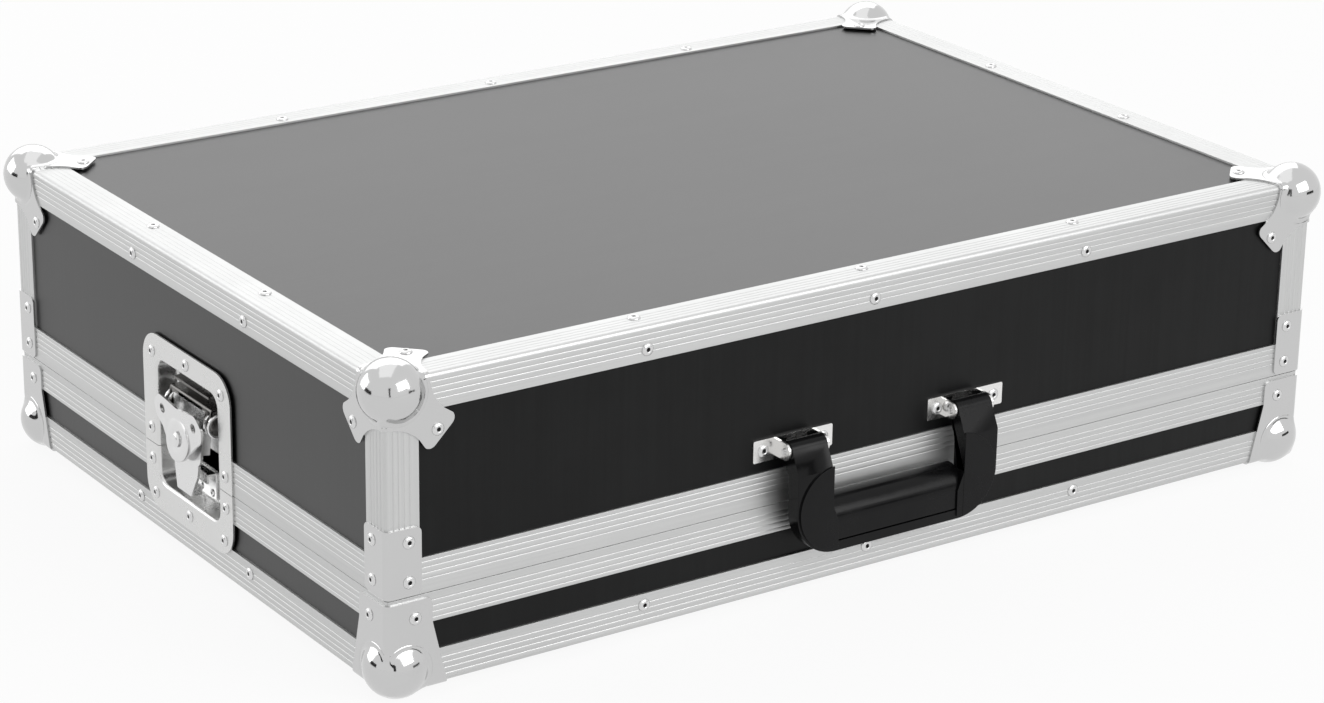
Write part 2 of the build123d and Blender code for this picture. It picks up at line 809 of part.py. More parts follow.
def handle_plate(x):
    """Riveted plate with two ears folded out for the pin."""
    plate = box(-plate_w / 2, plate_w / 2, skin - plate_t, skin, -plate_h / 2, plate_h / 2)
    plate = fillet(plate.edges().filter_by(Axis.Y), 1.2)
    arm_mid = (grip_half_w + arm_w / 2) * (1 if x > 0 else -1) - x
    for s in (-1, 1):
        inner = arm_mid + s * (arm_w / 2 + ear_side_gap)
        mid = inner + s * plate_t / 2
        tab = Pos(-handle_pin_out, 0) * Circle(ear_tab_r)
        tab += Pos((skin - handle_pin_out) / 2, 0) * Rectangle(skin + handle_pin_out, 2 * ear_tab_r)
        lay = Plane(origin=(mid, 0, 0), x_dir=(0, 1, 0), z_dir=(1, 0, 0))
        plate += extrude(lay * tab, plate_t / 2, both=True)
        slot_mid = inner - s * ear_slot_w / 2
        half = ear_slot_w / 2
        plate -= box(slot_mid - half, slot_mid + half, -1, skin + 1, -ear_tab_r, ear_tab_r)
    plate -= Pos(0, -handle_pin_out, 0) * (Rot(0, 90, 0) * Cylinder(handle_pin_r + run_gap, plate_w))
    return Pos(x, 0, low_z + handle_pin_up) * plate


def handle_pin(s):
    """Pin across both ears of one plate."""
    mid = s * (grip_half_w + arm_w / 2)
    half = arm_w / 2 + ear_side_gap + plate_t
    pin = Rot(0, 90, 0) * Cylinder(handle_pin_r, 2 * half + 1.6)
    return Pos(mid, -handle_pin_out, low_z + handle_pin_up) * pin


def handle_frame():
    """Moulded frame: a U seen from the front, cranked arms seen from the side."""
    out = grip_half_w + arm_w
    high = handle_pin_up + handle_boss_r
    tall = high - handle_low
    outline = Pos(0, (high + handle_low) / 2) * Rectangle(2 * out, tall)
    outline = fillet(outline.vertices().group_by(Axis.Y)[0], handle_round_r)
    gap_low = handle_low + handle_band_t
    outline -= Pos(0, gap_low + tall / 2) * Rectangle(2 * grip_half_w, tall)
    front = extrude(upright(outline, 0), far / 4)
    face, back = -handle_face_out, -handle_back_out
    pin_y = -handle_pin_out
    side = make_face(
        Polyline(
            (face, handle_low),
            (face, handle_crank_up),
            (pin_y - handle_boss_r * 0.8, handle_pin_up + handle_boss_r * 0.6),
            (pin_y, handle_pin_up),
            (pin_y + handle_boss_r * 0.8, handle_pin_up - handle_boss_r * 0.6),
            (back, handle_crank_up - handle_crank_drop),
            (back, handle_low),
            close=True,
        )
    )
    side += Pos(pin_y, handle_pin_up) * Circle(handle_boss_r)
    frame = front & side_section(side, out)
    pad_r = handle_round_r - 1.5
    mid_up = handle_low + handle_round_r
    for s in (-1, 1):
        disc = Pos(s * (out - handle_round_r), mid_up) * Circle(pad_r)
        disc &= Pos(s * (grip_half_w + arm_w / 2), mid_up) * Rectangle(arm_w, far)
        frame += extrude(upright(disc, face), handle_pad_h)
    return frame - cross_pin(handle_pin_r + run_gap, far, pin_y, handle_pin_up)


def handle_grip():
    """Rounded trough between the arms, open towards the case."""
    low = handle_low + handle_band_t
    mid_y = -(grip_face_out + grip_back_out) / 2
    deep = grip_face_out - grip_back_out
    section = Pos(mid_y, low + grip_h / 2) * RectangleRounded(deep, grip_h, grip_r)
    section -= Pos(mid_y, low + grip_h / 2) * RectangleRounded(
        deep - 2 * grip_wall, grip_h - 2 * grip_wall, grip_r - grip_wall
    )
    section -= Pos(mid_y + deep / 2, low + grip_h / 2) * Rectangle(deep, grip_slot)
    return side_section(section, grip_half_w)


# ---------------------------------------------------------------- write every piece

put_out("base_bottom_panel", base_bottom())
put_out("lid_top_panel", lid_top())
for name in sides:
    put_out("base_" + name + "_panel", base_wall(name))
    put_out("lid_" + name + "_panel", wall_panel(name, lid_wall_low, lid_wall_top))
    put_out("base_angle_" + name, base_angle(name))
    put_out("lid_angle_" + name, lid_angle(name))
    put_out("base_rim_" + name, rim(name, False))
    put_out("lid_rim_" + name, rim(name, True))

put_out("lid_corner_posts", group([on_corner(lid_post(), turn) for turn in corner_turns]))
put_out("lid_ball_corners", group([on_corner(ball_corner(), turn) for turn in corner_turns]))
put_out("lid_corner_braces", group([on_corner(lid_brace(), turn) for turn in corner_turns]))
put_out("base_foot_corners", group([on_corner(foot_corner(), turn) for turn in corner_turns]))
put_out("base_rivets", base_rivets())
put_out("lid_rivets", lid_rivets())
put_out("base_loop_mat", loop_mat())
put_out("lid_top_foam", lid_top_foam())
put_out("lid_wall_foam", lid_wall_foam())

for name in ("left", "right"):
    put_out("base_latch_dish_" + name, on_side(base_dish(), name))
    put_out("lid_latch_dish_" + name, on_side(lid_dish(), name))
    put_out("latch_keeper_" + name, on_side(keeper(), name))
    put_out("latch_bracket_" + name, on_side(pivot_bracket(), name))
    put_out("latch_arm_" + name, on_side(tilted(latch_arm()), name))
    put_out("latch_hook_" + name, on_side(tilted(latch_hook()), name))
    put_out("latch_key_" + name, on_side(tilted(latch_key()), name))
    put_out("latch_disc_" + name, on_side(tilted(latch_disc()), name))
    put_out("latch_spindle_" + name, on_side(tilted(latch_spindle()), name))

put_out("latch_pivot_pins", group([on_side(pivot_pin(), name) for name in ("left", "right")]))
put_out("latch_springs", group([on_side(torsion_spring(), name) for name in ("left", "right")]))
put_out("handle_brackets", group([on_side(handle_plate(x), "front") for x in (-plate_x, plate_x)]))
put_out("handle_pins", group([on_side(handle_pin(s), "front") for s in (-1, 1)]))
put_out("handle_frame", on_side(handle_frame(), "front"))
put_out("handle_grip", on_side(handle_grip(), "front"))
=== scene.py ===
import math

import bmesh
import bpy
from mathutils import Matrix, Vector, noise


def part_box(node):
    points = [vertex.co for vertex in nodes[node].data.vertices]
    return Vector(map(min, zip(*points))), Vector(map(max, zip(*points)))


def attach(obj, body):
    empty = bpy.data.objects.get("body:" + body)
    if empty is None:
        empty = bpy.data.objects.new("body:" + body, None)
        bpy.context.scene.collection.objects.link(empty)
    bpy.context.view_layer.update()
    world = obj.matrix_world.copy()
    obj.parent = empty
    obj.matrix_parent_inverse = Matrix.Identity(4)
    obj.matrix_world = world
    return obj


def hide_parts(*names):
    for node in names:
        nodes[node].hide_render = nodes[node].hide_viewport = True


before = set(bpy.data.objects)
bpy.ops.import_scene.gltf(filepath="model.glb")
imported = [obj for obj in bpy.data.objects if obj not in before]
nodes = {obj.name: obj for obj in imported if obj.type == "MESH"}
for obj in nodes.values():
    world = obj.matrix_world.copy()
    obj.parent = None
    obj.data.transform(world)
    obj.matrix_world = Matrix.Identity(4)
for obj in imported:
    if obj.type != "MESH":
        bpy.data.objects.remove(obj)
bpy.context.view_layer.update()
print("frame loaded,", len(nodes), "nodes")

# The case's outer box, worked out from the edge extrusions
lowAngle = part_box("base_angle_front")
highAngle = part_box("lid_angle_back")
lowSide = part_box("base_angle_left")
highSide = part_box("base_angle_right")
case = {
    "halfWidth": (highSide[1].x - lowSide[0].x) / 2,
    "halfDepth": (highAngle[1].y - lowAngle[0].y) / 2,
    "middleY": (highAngle[1].y + lowAngle[0].y) / 2,
    "low": lowAngle[0].z,
    "top": highAngle[1].z,
    "seam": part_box("base_rim_left")[1].z - 0.004,  # the tongue stands 4 mm over the seam
}
turnOfSide = {"front": 0, "right": 90, "back": 180, "left": 270}


def onSide(side):
    # From a front face, outer plane at y = 0 and inside at +y, to a side of the case
    reach = case["halfDepth"] if side in ("front", "back") else case["halfWidth"]
    turn = Matrix.Rotation(math.radians(turnOfSide[side]), 4, "Z")
    return Matrix.Translation((0, case["middleY"], 0)) @ turn @ Matrix.Translation((0, -reach, 0))


def onCorner(turn):
    # From the front left vertical edge, inside at +x +y, to one of the four corners
    wide, deep = case["halfWidth"], case["halfDepth"]
    if turn in (90, 270):
        wide, deep = deep, wide
    spin = Matrix.Rotation(math.radians(turn), 4, "Z")
    return Matrix.Translation((0, case["middleY"], 0)) @ spin @ Matrix.Translation((-wide, -deep, 0))


def newObject(name, data):
    obj = bpy.data.objects.new(name, data)
    bpy.context.collection.objects.link(obj)
    return obj


def meshData(name, mesh):
    # A bmesh turned into mesh data, and freed
    data = bpy.data.meshes.new(name)
    mesh.to_mesh(data)
    mesh.free()
    return data


def evaluatedMesh(obj):
    # The object's mesh with its modifiers applied
    bpy.context.view_layer.update()
    graph = bpy.context.evaluated_depsgraph_get()
    return bpy.data.meshes.new_from_object(obj.evaluated_get(graph))


# Shader helpers


def newMaterial(name, **sockets):
    material = bpy.data.materials.new(name)
    material.use_nodes = True
    tree = material.node_tree
    shader = tree.nodes["Principled BSDF"]
    for key, value in sockets.items():
        shader.inputs[key.replace("_", " ")].default_value = value
    return material, tree, shader


def feed(tree, node, inputs):
    # Each input takes a plain value, or a link from another node's output
    for key, value in inputs.items():
        if isinstance(value, bpy.types.NodeSocket):
            tree.links.new(value, node.inputs[key])
        else:
            node.inputs[key].default_value = value


def newNode(tree, kind, inputs=None, **fields):
    node = tree.nodes.new(kind)
    for key, value in fields.items():
        setattr(node, key, value)
    feed(tree, node, inputs or {})
    return node


def newGroup(name, inputs, outputs):
    group = bpy.data.node_groups.new(name, "ShaderNodeTree")
    for label, kind, value in inputs:
        socket = group.interface.new_socket(label, in_out="INPUT", socket_type=kind)
        socket.default_value = value
    for label, kind in outputs:
        group.interface.new_socket(label, in_out="OUTPUT", socket_type=kind)
    entry = group.nodes.new("NodeGroupInput")
    out = group.nodes.new("NodeGroupOutput")
    return group, entry, out


def placeGroup(tree, group, inputs):
    return newNode(tree, "ShaderNodeGroup", inputs, node_tree=group)


def mathNode(tree, operation, a, b, clamp=False):
    return newNode(tree, "ShaderNodeMath", {0: a, 1: b}, operation=operation, use_clamp=clamp).outputs[0]


def rangeNode(tree, value, low, high, toLow, toHigh):
    return newNode(tree, "ShaderNodeMapRange", {0: value, 1: low, 2: high, 3: toLow, 4: toHigh}).outputs[0]


def mixColours(tree, shader, factor, first, second):
    values = {"A": first, "B": second, "Factor": factor}
    blend = newNode(tree, "ShaderNodeMix", values, data_type="RGBA")
    feed(tree, shader, {"Base Color": blend.outputs["Result"]})


def seenOrMirrored(tree):
    # One for rays from the camera, and for those that metal and glass send on
    path = newNode(tree, "ShaderNodeLightPath")
    seen = mathNode(tree, "MAXIMUM", path.outputs["Is Camera Ray"], path.outputs["Is Glossy Ray"])
    return mathNode(tree, "MAXIMUM", seen, path.outputs["Is Transmission Ray"])


def drawnLines():
    # Fine lines that run along one axis, from a noise stretched by the given scale
    group, entry, out = newGroup(
        "drawnLines",
        [("Stretch", "NodeSocketVector", (4.0, 900.0, 900.0)), ("Detail", "NodeSocketFloat", 3.0)],
        [("Mask", "NodeSocketFloat"), ("Broad", "NodeSocketFloat")],
    )
    place = newNode(group, "ShaderNodeTexCoord").outputs["Object"]
    stretched = {0: place, 1: entry.outputs["Stretch"]}
    scale = newNode(group, "ShaderNodeVectorMath", stretched, operation="MULTIPLY").outputs[0]
    fine = newNode(group, "ShaderNodeTexNoise",
                   {"Scale": 1.0, "Roughness": 0.6, "Vector": scale, "Detail": entry.outputs["Detail"]})
    broad = newNode(group, "ShaderNodeTexNoise", {"Scale": 0.12, "Detail": 2.0, "Vector": scale})
    feed(group, out, {"Mask": fine.outputs[0], "Broad": broad.outputs[0]})
    return group


def handlingMarks():
    # Soft blotches of handling and polish, two sizes of noise in one mask
    group, entry, out = newGroup(
        "handlingMarks",
        [("Scale", "NodeSocketFloat", 12.0), ("Contrast", "NodeSocketFloat", 1.0)],
        [("Mask", "NodeSocketFloat")],
    )
    place = newNode(group, "ShaderNodeTexCoord").outputs["Object"]
    scale = entry.outputs["Scale"]
    finer = mathNode(group, "MULTIPLY", scale, 7.0)
    large = newNode(group, "ShaderNodeTexNoise",
                    {"Detail": 4.0, "Roughness": 0.55, "Vector": place, "Scale": scale})
    small = newNode(group, "ShaderNodeTexNoise",
                    {"Detail": 5.0, "Roughness": 0.65, "Vector": place, "Scale": finer})
    both = mathNode(group, "ADD", large.outputs[0], mathNode(group, "MULTIPLY", small.outputs[0], 0.5))
    centred = mathNode(group, "SUBTRACT", both, 0.75)
    spread = mathNode(group, "MULTIPLY", centred, entry.outputs["Contrast"])
    feed(group, out, {"Mask": mathNode(group, "ADD", spread, 0.5, clamp=True)})
    return group


linesGroup = drawnLines()
marksGroup = handlingMarks()


def addBump(tree, shader, height, strength, distance):
    bump = newNode(tree, "ShaderNodeBump", {"Strength": strength, "Distance": distance, "Height": height})
    feed(tree, shader, {"Normal": bump.outputs[0]})


def addRoughness(tree, shader, mask, start, end, span):
    # The mask from start to end becomes a roughness from the span's low to its high
    feed(tree, shader, {"Roughness": rangeNode(tree, mask, start, end, *span)})


# Materials

laminateFinish = {
    "dark": (0.0030, 0.0031, 0.0032, 1),
    "pale": (0.0056, 0.0058, 0.0059, 1),
    "roughness": (0.352, 0.362),
    # specular level by facing: painted light for the top and sides, painted shade for the front of the same
    # film
    "paintedLightSpecular": {"top": 0.58, "side": 0.6, "front": 0.17},
    "grainSize": 2600.0,
}


def laminateMaterial(name, stretch, sheen):
    # Phenolic film on plywood: near black, satin, with the ply's faint lines showing through. The specular
    # level picked by facing is painted light on the top and sides and painted shade on the front.
    material, tree, shader = newMaterial(name, Specular_IOR_Level=laminateFinish["paintedLightSpecular"][sheen])
    lines = placeGroup(tree, linesGroup, {"Stretch": stretch, "Detail": 4.0})
    marks = placeGroup(tree, marksGroup, {"Scale": 5.0, "Contrast": 1.6})
    both = mathNode(tree, "MULTIPLY", lines.outputs["Mask"], marks.outputs["Mask"])
    share = rangeNode(tree, both, 0.12, 0.4, 0.0, 1.0)
    mixColours(tree, shader, share, laminateFinish["dark"], laminateFinish["pale"])
    mixed = mathNode(tree, "ADD", marks.outputs["Mask"], lines.outputs["Broad"])
    addRoughness(tree, shader, mixed, 0.7, 1.3, laminateFinish["roughness"])
    place = newNode(tree, "ShaderNodeTexCoord").outputs["Object"]
    grain = newNode(tree, "ShaderNodeTexNoise",
                    {"Scale": laminateFinish["grainSize"], "Detail": 2.0, "Vector": place})
    height = mathNode(tree, "ADD", grain.outputs[0], lines.outputs["Mask"])
    addBump(tree, shader, height, 0.25, 0.00012)
    return material


aluminiumFinish = {
    "colour": (0.575, 0.578, 0.575, 1),
    "dull": (0.54, 0.543, 0.542, 1),
    "roughness": (0.42, 0.52),
}


def aluminiumMaterial(name, stretch):
    # Mill-finished extrusion with drawn lines along its length
    material, tree, shader = newMaterial(name, Metallic=1.0)
    lines = placeGroup(tree, linesGroup, {"Stretch": stretch, "Detail": 3.0})
    marks = placeGroup(tree, marksGroup, {"Scale": 16.0, "Contrast": 1.4})
    share = rangeNode(tree, lines.outputs["Mask"], 0.3, 0.6, 0.0, 1.0)
    mixColours(tree, shader, share, aluminiumFinish["dull"], aluminiumFinish["colour"])
    mixed = mathNode(tree, "ADD", marks.outputs["Mask"], lines.outputs["Mask"])
    addRoughness(tree, shader, mixed, 0.6, 1.4, aluminiumFinish["roughness"])
    addBump(tree, shader, lines.outputs["Mask"], 0.35, 0.00008)
    return material


def brightMetal(name, colour, roughness, marksScale=30.0, bump=0.00004):
    material, tree, shader = newMaterial(name, Metallic=1.0, Base_Color=colour)
    marks = placeGroup(tree, marksGroup, {"Scale": marksScale, "Contrast": 1.5})
    addRoughness(tree, shader, marks.outputs["Mask"], 0.2, 0.8, roughness)
    addBump(tree, shader, marks.outputs["Mask"], 0.3, bump)
    return material


def paintHoleShade(material):
    # Painted shade down the hole that the mandrel left, where the mesh says so
    tree = material.node_tree
    shader = tree.nodes["Principled BSDF"]
    marked = newNode(tree, "ShaderNodeAttribute", attribute_name="hole")
    steel = shader.inputs["Base Color"].default_value
    mixColours(tree, shader, marked.outputs["Fac"], steel, (0.03, 0.03, 0.03, 1))


def blackPlastic(name):
    # Glossy injection-moulded plastic with faint flow marks and finger marks
    material, tree, shader = newMaterial(name, Specular_IOR_Level=0.17)
    marks = placeGroup(tree, marksGroup, {"Scale": 22.0, "Contrast": 1.8})
    mixColours(tree, shader, marks.outputs["Mask"], (0.0022, 0.0022, 0.0024, 1), (0.0046, 0.0046, 0.005, 1))
    addRoughness(tree, shader, marks.outputs["Mask"], 0.2, 0.8, (0.16, 0.3))
    addBump(tree, shader, marks.outputs["Mask"], 0.2, 0.00006)
    return material


def softMaterial(name, dark, pale, cell, roughness, sheen):
    material, tree, shader = newMaterial(
        name, Roughness=roughness, Specular_IOR_Level=0.2, Sheen_Weight=sheen)
    place = newNode(tree, "ShaderNodeTexCoord").outputs["Object"]
    cells = newNode(tree, "ShaderNodeTexVoronoi", {"Scale": cell, "Randomness": 1.0, "Vector": place})
    marks = placeGroup(tree, marksGroup, {"Scale": 9.0, "Contrast": 1.4})
    worn = mathNode(tree, "MULTIPLY", marks.outputs["Mask"], 0.6)
    both = mathNode(tree, "ADD", cells.outputs["Distance"], worn)
    mixColours(tree, shader, rangeNode(tree, both, 0.2, 1.2, 0.0, 1.0), dark, pale)
    addBump(tree, shader, cells.outputs["Distance"], 0.8, 0.0004)
    return material


# one laminate in three copies that differ only in specular level: painted light on the top and side copies,
# painted shade on the front copy
laminateTopPaintedLit = laminateMaterial("laminateTopPaintedLit", (5.0, 420.0, 420.0), "top")
laminateSidePaintedLit = laminateMaterial("laminateSidePaintedLit", (300.0, 300.0, 6.0), "side")
laminateFrontPaintedShade = laminateMaterial("laminateFrontPaintedShade", (300.0, 300.0, 6.0), "front")
aluminiumX = aluminiumMaterial("aluminiumAlongX", (3.0, 700.0, 700.0))
aluminiumY = aluminiumMaterial("aluminiumAlongY", (700.0, 3.0, 700.0))
aluminiumZ = aluminiumMaterial("aluminiumAlongZ", (700.0, 700.0, 3.0))
cornerSteel = brightMetal("brightCornerSteel", (0.57, 0.57, 0.57, 1), (0.06, 0.15))
dishSteel = brightMetal("zincDishSteel", (0.66, 0.66, 0.655, 1), (0.2, 0.34))
latchSteel = brightMetal("plainLatchSteel", (0.70, 0.70, 0.70, 1), (0.15, 0.3), 60.0)
# nickel-plated latch steel given a dark base colour: painted reflection of dark surroundings and painted
# shade in the dish
paintedDarkLatchSteel = brightMetal("latchSteelPaintedDark", (0.16, 0.155, 0.15, 1), (0.2, 0.36), 60.0)
rivetSteel = brightMetal("rivetSteel", (0.66, 0.66, 0.66, 1), (0.2, 0.34), 60.0)
paintHoleShade(rivetSteel)
springSteel = brightMetal("springSteel", (0.45, 0.45, 0.45, 1), (0.2, 0.3), 90.0)
plateSteel = brightMetal("handlePlateSteel", (0.78, 0.775, 0.765, 1), (0.16, 0.3), 50.0)
handlePlastic = blackPlastic("glossyHandlePlastic")
matPile = softMaterial("loopPile", (0.01, 0.01, 0.011, 1), (0.03, 0.03, 0.032, 1), 900.0, 0.95, 0.25)
foamCell = softMaterial("foamCell", (0.018, 0.018, 0.019, 1), (0.045, 0.045, 0.048, 1), 1300.0, 0.9, 0.1)
print("materials made")


# Finish on the frame's own nodes


def evenNormals(obj):
    # Large flats keep their own normal beside a narrow rounded edge
    even = obj.modifiers.new("evenNormals", "WEIGHTED_NORMAL")
    even.mode = "FACE_AREA"
    even.weight = 90
    even.thresh = 0.01
    even.keep_sharp = False


def weldPoints(obj):
    weld = obj.modifiers.new("weld", "WELD")
    weld.merge_threshold = 0.00001


def roundEdges(obj, width, segments, angle):
    edge = obj.modifiers.new("edge", "BEVEL")
    edge.width = width
    edge.segments = segments
    edge.limit_method = "ANGLE"
    edge.angle_limit = math.radians(angle)
    return edge


def finishNode(name, material, bevel):
    obj = nodes[name]
    obj.data.materials.clear()
    obj.data.materials.append(material)
    weldPoints(obj)
    if bevel:
        roundEdges(obj, bevel, 2, 40)
        evenNormals(obj)
    for polygon in obj.data.polygons:
        polygon.use_smooth = True


for side in turnOfSide:
    alongX = side in ("front", "back")
    metal = aluminiumX if alongX else aluminiumY
    for stem in ("base_angle_", "lid_angle_", "base_rim_", "lid_rim_"):
        finishNode(stem + side, metal, 0.00015)
    for stem in ("base_", "lid_"):
        film = laminateFrontPaintedShade if alongX else laminateSidePaintedLit
        finishNode(stem + side + "_panel", film, 0.0003)
finishNode("lid_top_panel", laminateTopPaintedLit, 0.0003)
finishNode("base_bottom_panel", laminateTopPaintedLit, 0.0003)
finishNode("lid_corner_posts", aluminiumZ, 0.00015)
finishNode("lid_corner_braces", cornerSteel, 0.0004)
for side in ("left", "right"):
    # the bracket's dark colour is painted reflection and painted shade
    finishNode("latch_bracket_" + side, paintedDarkLatchSteel, 0.0003)
    for stem in ("keeper", "arm", "hook", "spindle"):
        finishNode(f"latch_{stem}_{side}", latchSteel, 0.0003)
finishNode("latch_pivot_pins", latchSteel, 0.0002)
finishNode("latch_springs", springSteel, 0)
finishNode("handle_brackets", plateSteel, 0.0003)
finishNode("handle_pins", latchSteel, 0.0002)
print("frame nodes finished")


# Pressed steel corners

pressing = {
    "steel": 0.0012,
    "edgeRound": 0.003,  # inside the sheet, where it wraps the extrusion
    "grid": 50,
    "rimBevel": 0.00032,
    "creaseSoft": 0.0026,
    "creaseBand": (0.0017, 0.0038),
    "grooveWidth": 0.00042,
    "grooveDepth": 0.00042,
}
ballCorner = {
    "ballRadius": 0.0192,
    "ballInset": 0.0093,
    "edgeReach": 0.029,
    "lugReach": 0.0532,
    "lugHalfWidth": 0.0145,
    "archRadius": 0.0272,
    "tipRadius": 0.005,
}
footCorner = {
    "ballRadius": 0.0196,
    "ballInset": 0.0122,
    "legLow": 0.039,
    "legTop": 0.0295,
    "flareHeight": 0.040,
    "height": case["seam"] - case["low"] - 0.0026,
    "tipRadius": 0.003,
}


def roundedPath(points, radii, steps=8):
    # Polyline in a plane with arcs of the given radii at its inner points
    path = [Vector(points[0])]
    for before, here, after, radius in zip(points, points[1:], points[2:], radii):
        here = Vector(here)
        back = (Vector(before) - here).normalized()
        ahead = (Vector(after) - here).normalized()
        half = back.angle(ahead) / 2
        reach = radius / math.tan(half)
        centre = here + (back + ahead).normalized() * (radius / math.sin(half))
        start, end = here + back * reach, here + ahead * reach
        for i in range(steps + 1):
            arm = (start - centre).slerp(end - centre, i / steps)
            path.append(centre + arm * radius)
    path.append(Vector(points[-1]))
    return path


def arcBetween(start, end, radius, steps=16):
    # Arc that bulges to the left of the way from start to end
    start, end = Vector(start), Vector(end)
    middle = (start + end) / 2
    way = end - start
    left = Vector((-way.y, way.x)).normalized()
    centre = middle - left * math.sqrt(radius**2 - way.length_squared / 4)
    return [centre + (start - centre).slerp(end - centre, i / steps) * radius for i in range(steps + 1)]


def evenly(path, count):
    # The same path as count + 1 points at even distances
    lengths = [0.0]
    for a, b in zip(path, path[1:]):
        lengths.append(lengths[-1] + (b - a).length)
    result, at = [], 0
    for i in range(count + 1):
        target = lengths[-1] * i / count
        while at < len(path) - 2 and lengths[at + 1] < target:
            at += 1
        span = lengths[at + 1] - lengths[at]
        result.append(path[at].lerp(path[at + 1], (target - lengths[at]) / span if span else 0.0))
    return result


def starShaped(path, start):
    # Drops the points that a fan of rays from the start would meet twice
    kept, reached = [], -math.pi
    for p in path:
        way = Vector(p) - start
        angle = math.atan2(way.y, way.x)
        if angle > reached + 0.0015:
            kept.append(p)
            reached = angle
    return kept


def lugOutline():
    # Half the outline to the lug's tip, then its mirror image
    c, t = ballCorner, pressing["steel"]
    tip, wide = c["lugReach"] * math.sqrt(2), c["lugHalfWidth"] * math.sqrt(2)
    corner = Vector(((tip + wide) / 2, (tip - wide) / 2))
    foot = Vector((c["edgeReach"], 0.0))
    arch = arcBetween(foot, corner, c["archRadius"])
    # The tip is rounded between the arch's last stretch and the lug's end
    short = arch[:-5]
    knee = roundedPath([short[-1], corner, Vector((tip / 2, tip / 2))], [c["tipRadius"]])[1:]
    half = starShaped([Vector((c["edgeReach"], -t))] + short + knee, Vector((-t, -t)))
    return half + [Vector((p.y, p.x)) for p in reversed(half[:-1])]


def legOutline(flip):
    # A foot's leg on an upright face: along the case and upwards, or the other way round if flipped
    c, t = footCorner, pressing["steel"]
    points = [(c["legLow"], -t), (c["legLow"], 0.0), (c["legTop"], c["flareHeight"]),
              (c["legTop"], c["height"]), (-t, c["height"])]
    path = roundedPath(points, [0.0004, 0.008, 0.004])
    return [Vector((p.y, p.x)) for p in reversed(path)] if flip else path


def soleOutline():
    c, t = footCorner, pressing["steel"]
    points = [(c["legLow"], -t), (c["legLow"], c["legLow"]), (-t, c["legLow"])]
    return roundedPath(points, [c["tipRadius"]])


def onRoundBox(p):
    # Point of the sharp sheet box moved to the one with rounded edges
    r = pressing["edgeRound"]
    core = Vector([max(value, r) for value in p])
    away = p - core
    return core + away.normalized() * (r + pressing["steel"])


def pushedOut(p, centre, radius):
    # The ball swells through the sheet, with a soft fillet where they meet
    soft = pressing["creaseSoft"]
    arm = p - centre
    distance = arm.length
    near = max(soft - abs(distance - radius), 0.0) / soft
    off = (distance - radius - soft * 0.95) / pressing["grooveWidth"]
    groove = pressing["grooveDepth"] * math.exp(-off * off)
    return centre + arm * ((max(distance, radius) + near * near * soft / 4 - groove) / distance)


def creaseDistance(start, way, place, centre, radius):
    # How far along a ray in the face the sheet leaves the ball
    low, high = 0.0, way.length
    for _ in range(26):
        middle = (low + high) / 2
        p = onRoundBox(place(start + way.normalized() * middle))
        if (p - centre).length < radius:
            low = middle
        else:
            high = middle
    return low


def pressedShell(mesh, faces, centre, radius, shape=None):
    # One corner's outer skin; each face is (outline, place), place takes face to space
    n, t = pressing["grid"], pressing["steel"]
    start = Vector((-t, -t))
    zones = ((0.0, 0.28), (0.28, 0.8), (0.8, 1.0))
    for outline, place in faces:
        rim = evenly(outline, 2 * n)
        bandIn, bandOut = pressing["creaseBand"]
        creases = [creaseDistance(start, p - start, place, centre, radius) for p in rim]
        rings = []
        for k in range(n + 1):
            ring = []
            for j in range(2 * k + 1):
                at = j * n / k if k else n
                low = min(int(at), 2 * n - 1)
                part = at - low
                edge = rim[low].lerp(rim[low + 1], part)
                crease = creases[low] * (1 - part) + creases[low + 1] * part
                way = edge - start
                total = way.length
                stops = (0.0, crease - bandIn, crease + min(bandOut, (total - crease) * 0.72), total)
                s = k / n
                for zone, (a, b) in enumerate(zones):
                    if s <= b:
                        break
                along = stops[zone] + (stops[zone + 1] - stops[zone]) * (s - a) / (b - a)
                p = onRoundBox(place(start + way * (along / total)))
                p = pushedOut(p, centre, radius)
                ring.append(mesh.verts.new(shape(p) if shape else p))
            rings.append(ring)
        for k in range(n):
            inner, outer = rings[k], rings[k + 1]
            for j in range(2 * k + 1):
                if j < k:
                    quad = (inner[j], outer[j], outer[j + 1], inner[j + 1])
                elif j > k:
                    quad = (inner[j - 1], outer[j + 1], outer[j + 2], inner[j])
                else:
                    quad = (inner[j], outer[j], outer[j + 1], outer[j + 2])
                mesh.faces.new(quad)


def cornerPiece(name, faces, settings, flipped, body, replaced, shape=None):
    # The same pressing at all four corners, stood on its head at the top of the case
    centre = Vector([settings["ballInset"]] * 3)
    whole = bmesh.new()
    for turn in turnOfSide.values():
        part = bmesh.new()
        pressedShell(part, faces, centre, settings["ballRadius"], shape)
        bmesh.ops.remove_doubles(part, verts=part.verts, dist=0.000002)
        base = case["top"] if flipped else case["low"]
        stand = Matrix.Translation((0, 0, base)) @ Matrix.Diagonal((1, 1, -1 if flipped else 1, 1))
        place = onCorner(turn) @ stand
        part.transform(place)
        bmesh.ops.recalc_face_normals(part, faces=part.faces)
        inside = place @ Vector((0.03, 0.03, 0.03))
        if sum(f.normal.dot(f.calc_center_median() - inside) for f in part.faces) < 0:
            bmesh.ops.reverse_faces(part, faces=part.faces)
        data = meshData("part", part)
        whole.from_mesh(data)
        bpy.data.meshes.remove(data)
    finishedPiece(name, whole, cornerSteel, body, [replaced],
                  wall=pressing["steel"], bevel=pressing["rimBevel"], angle=62)


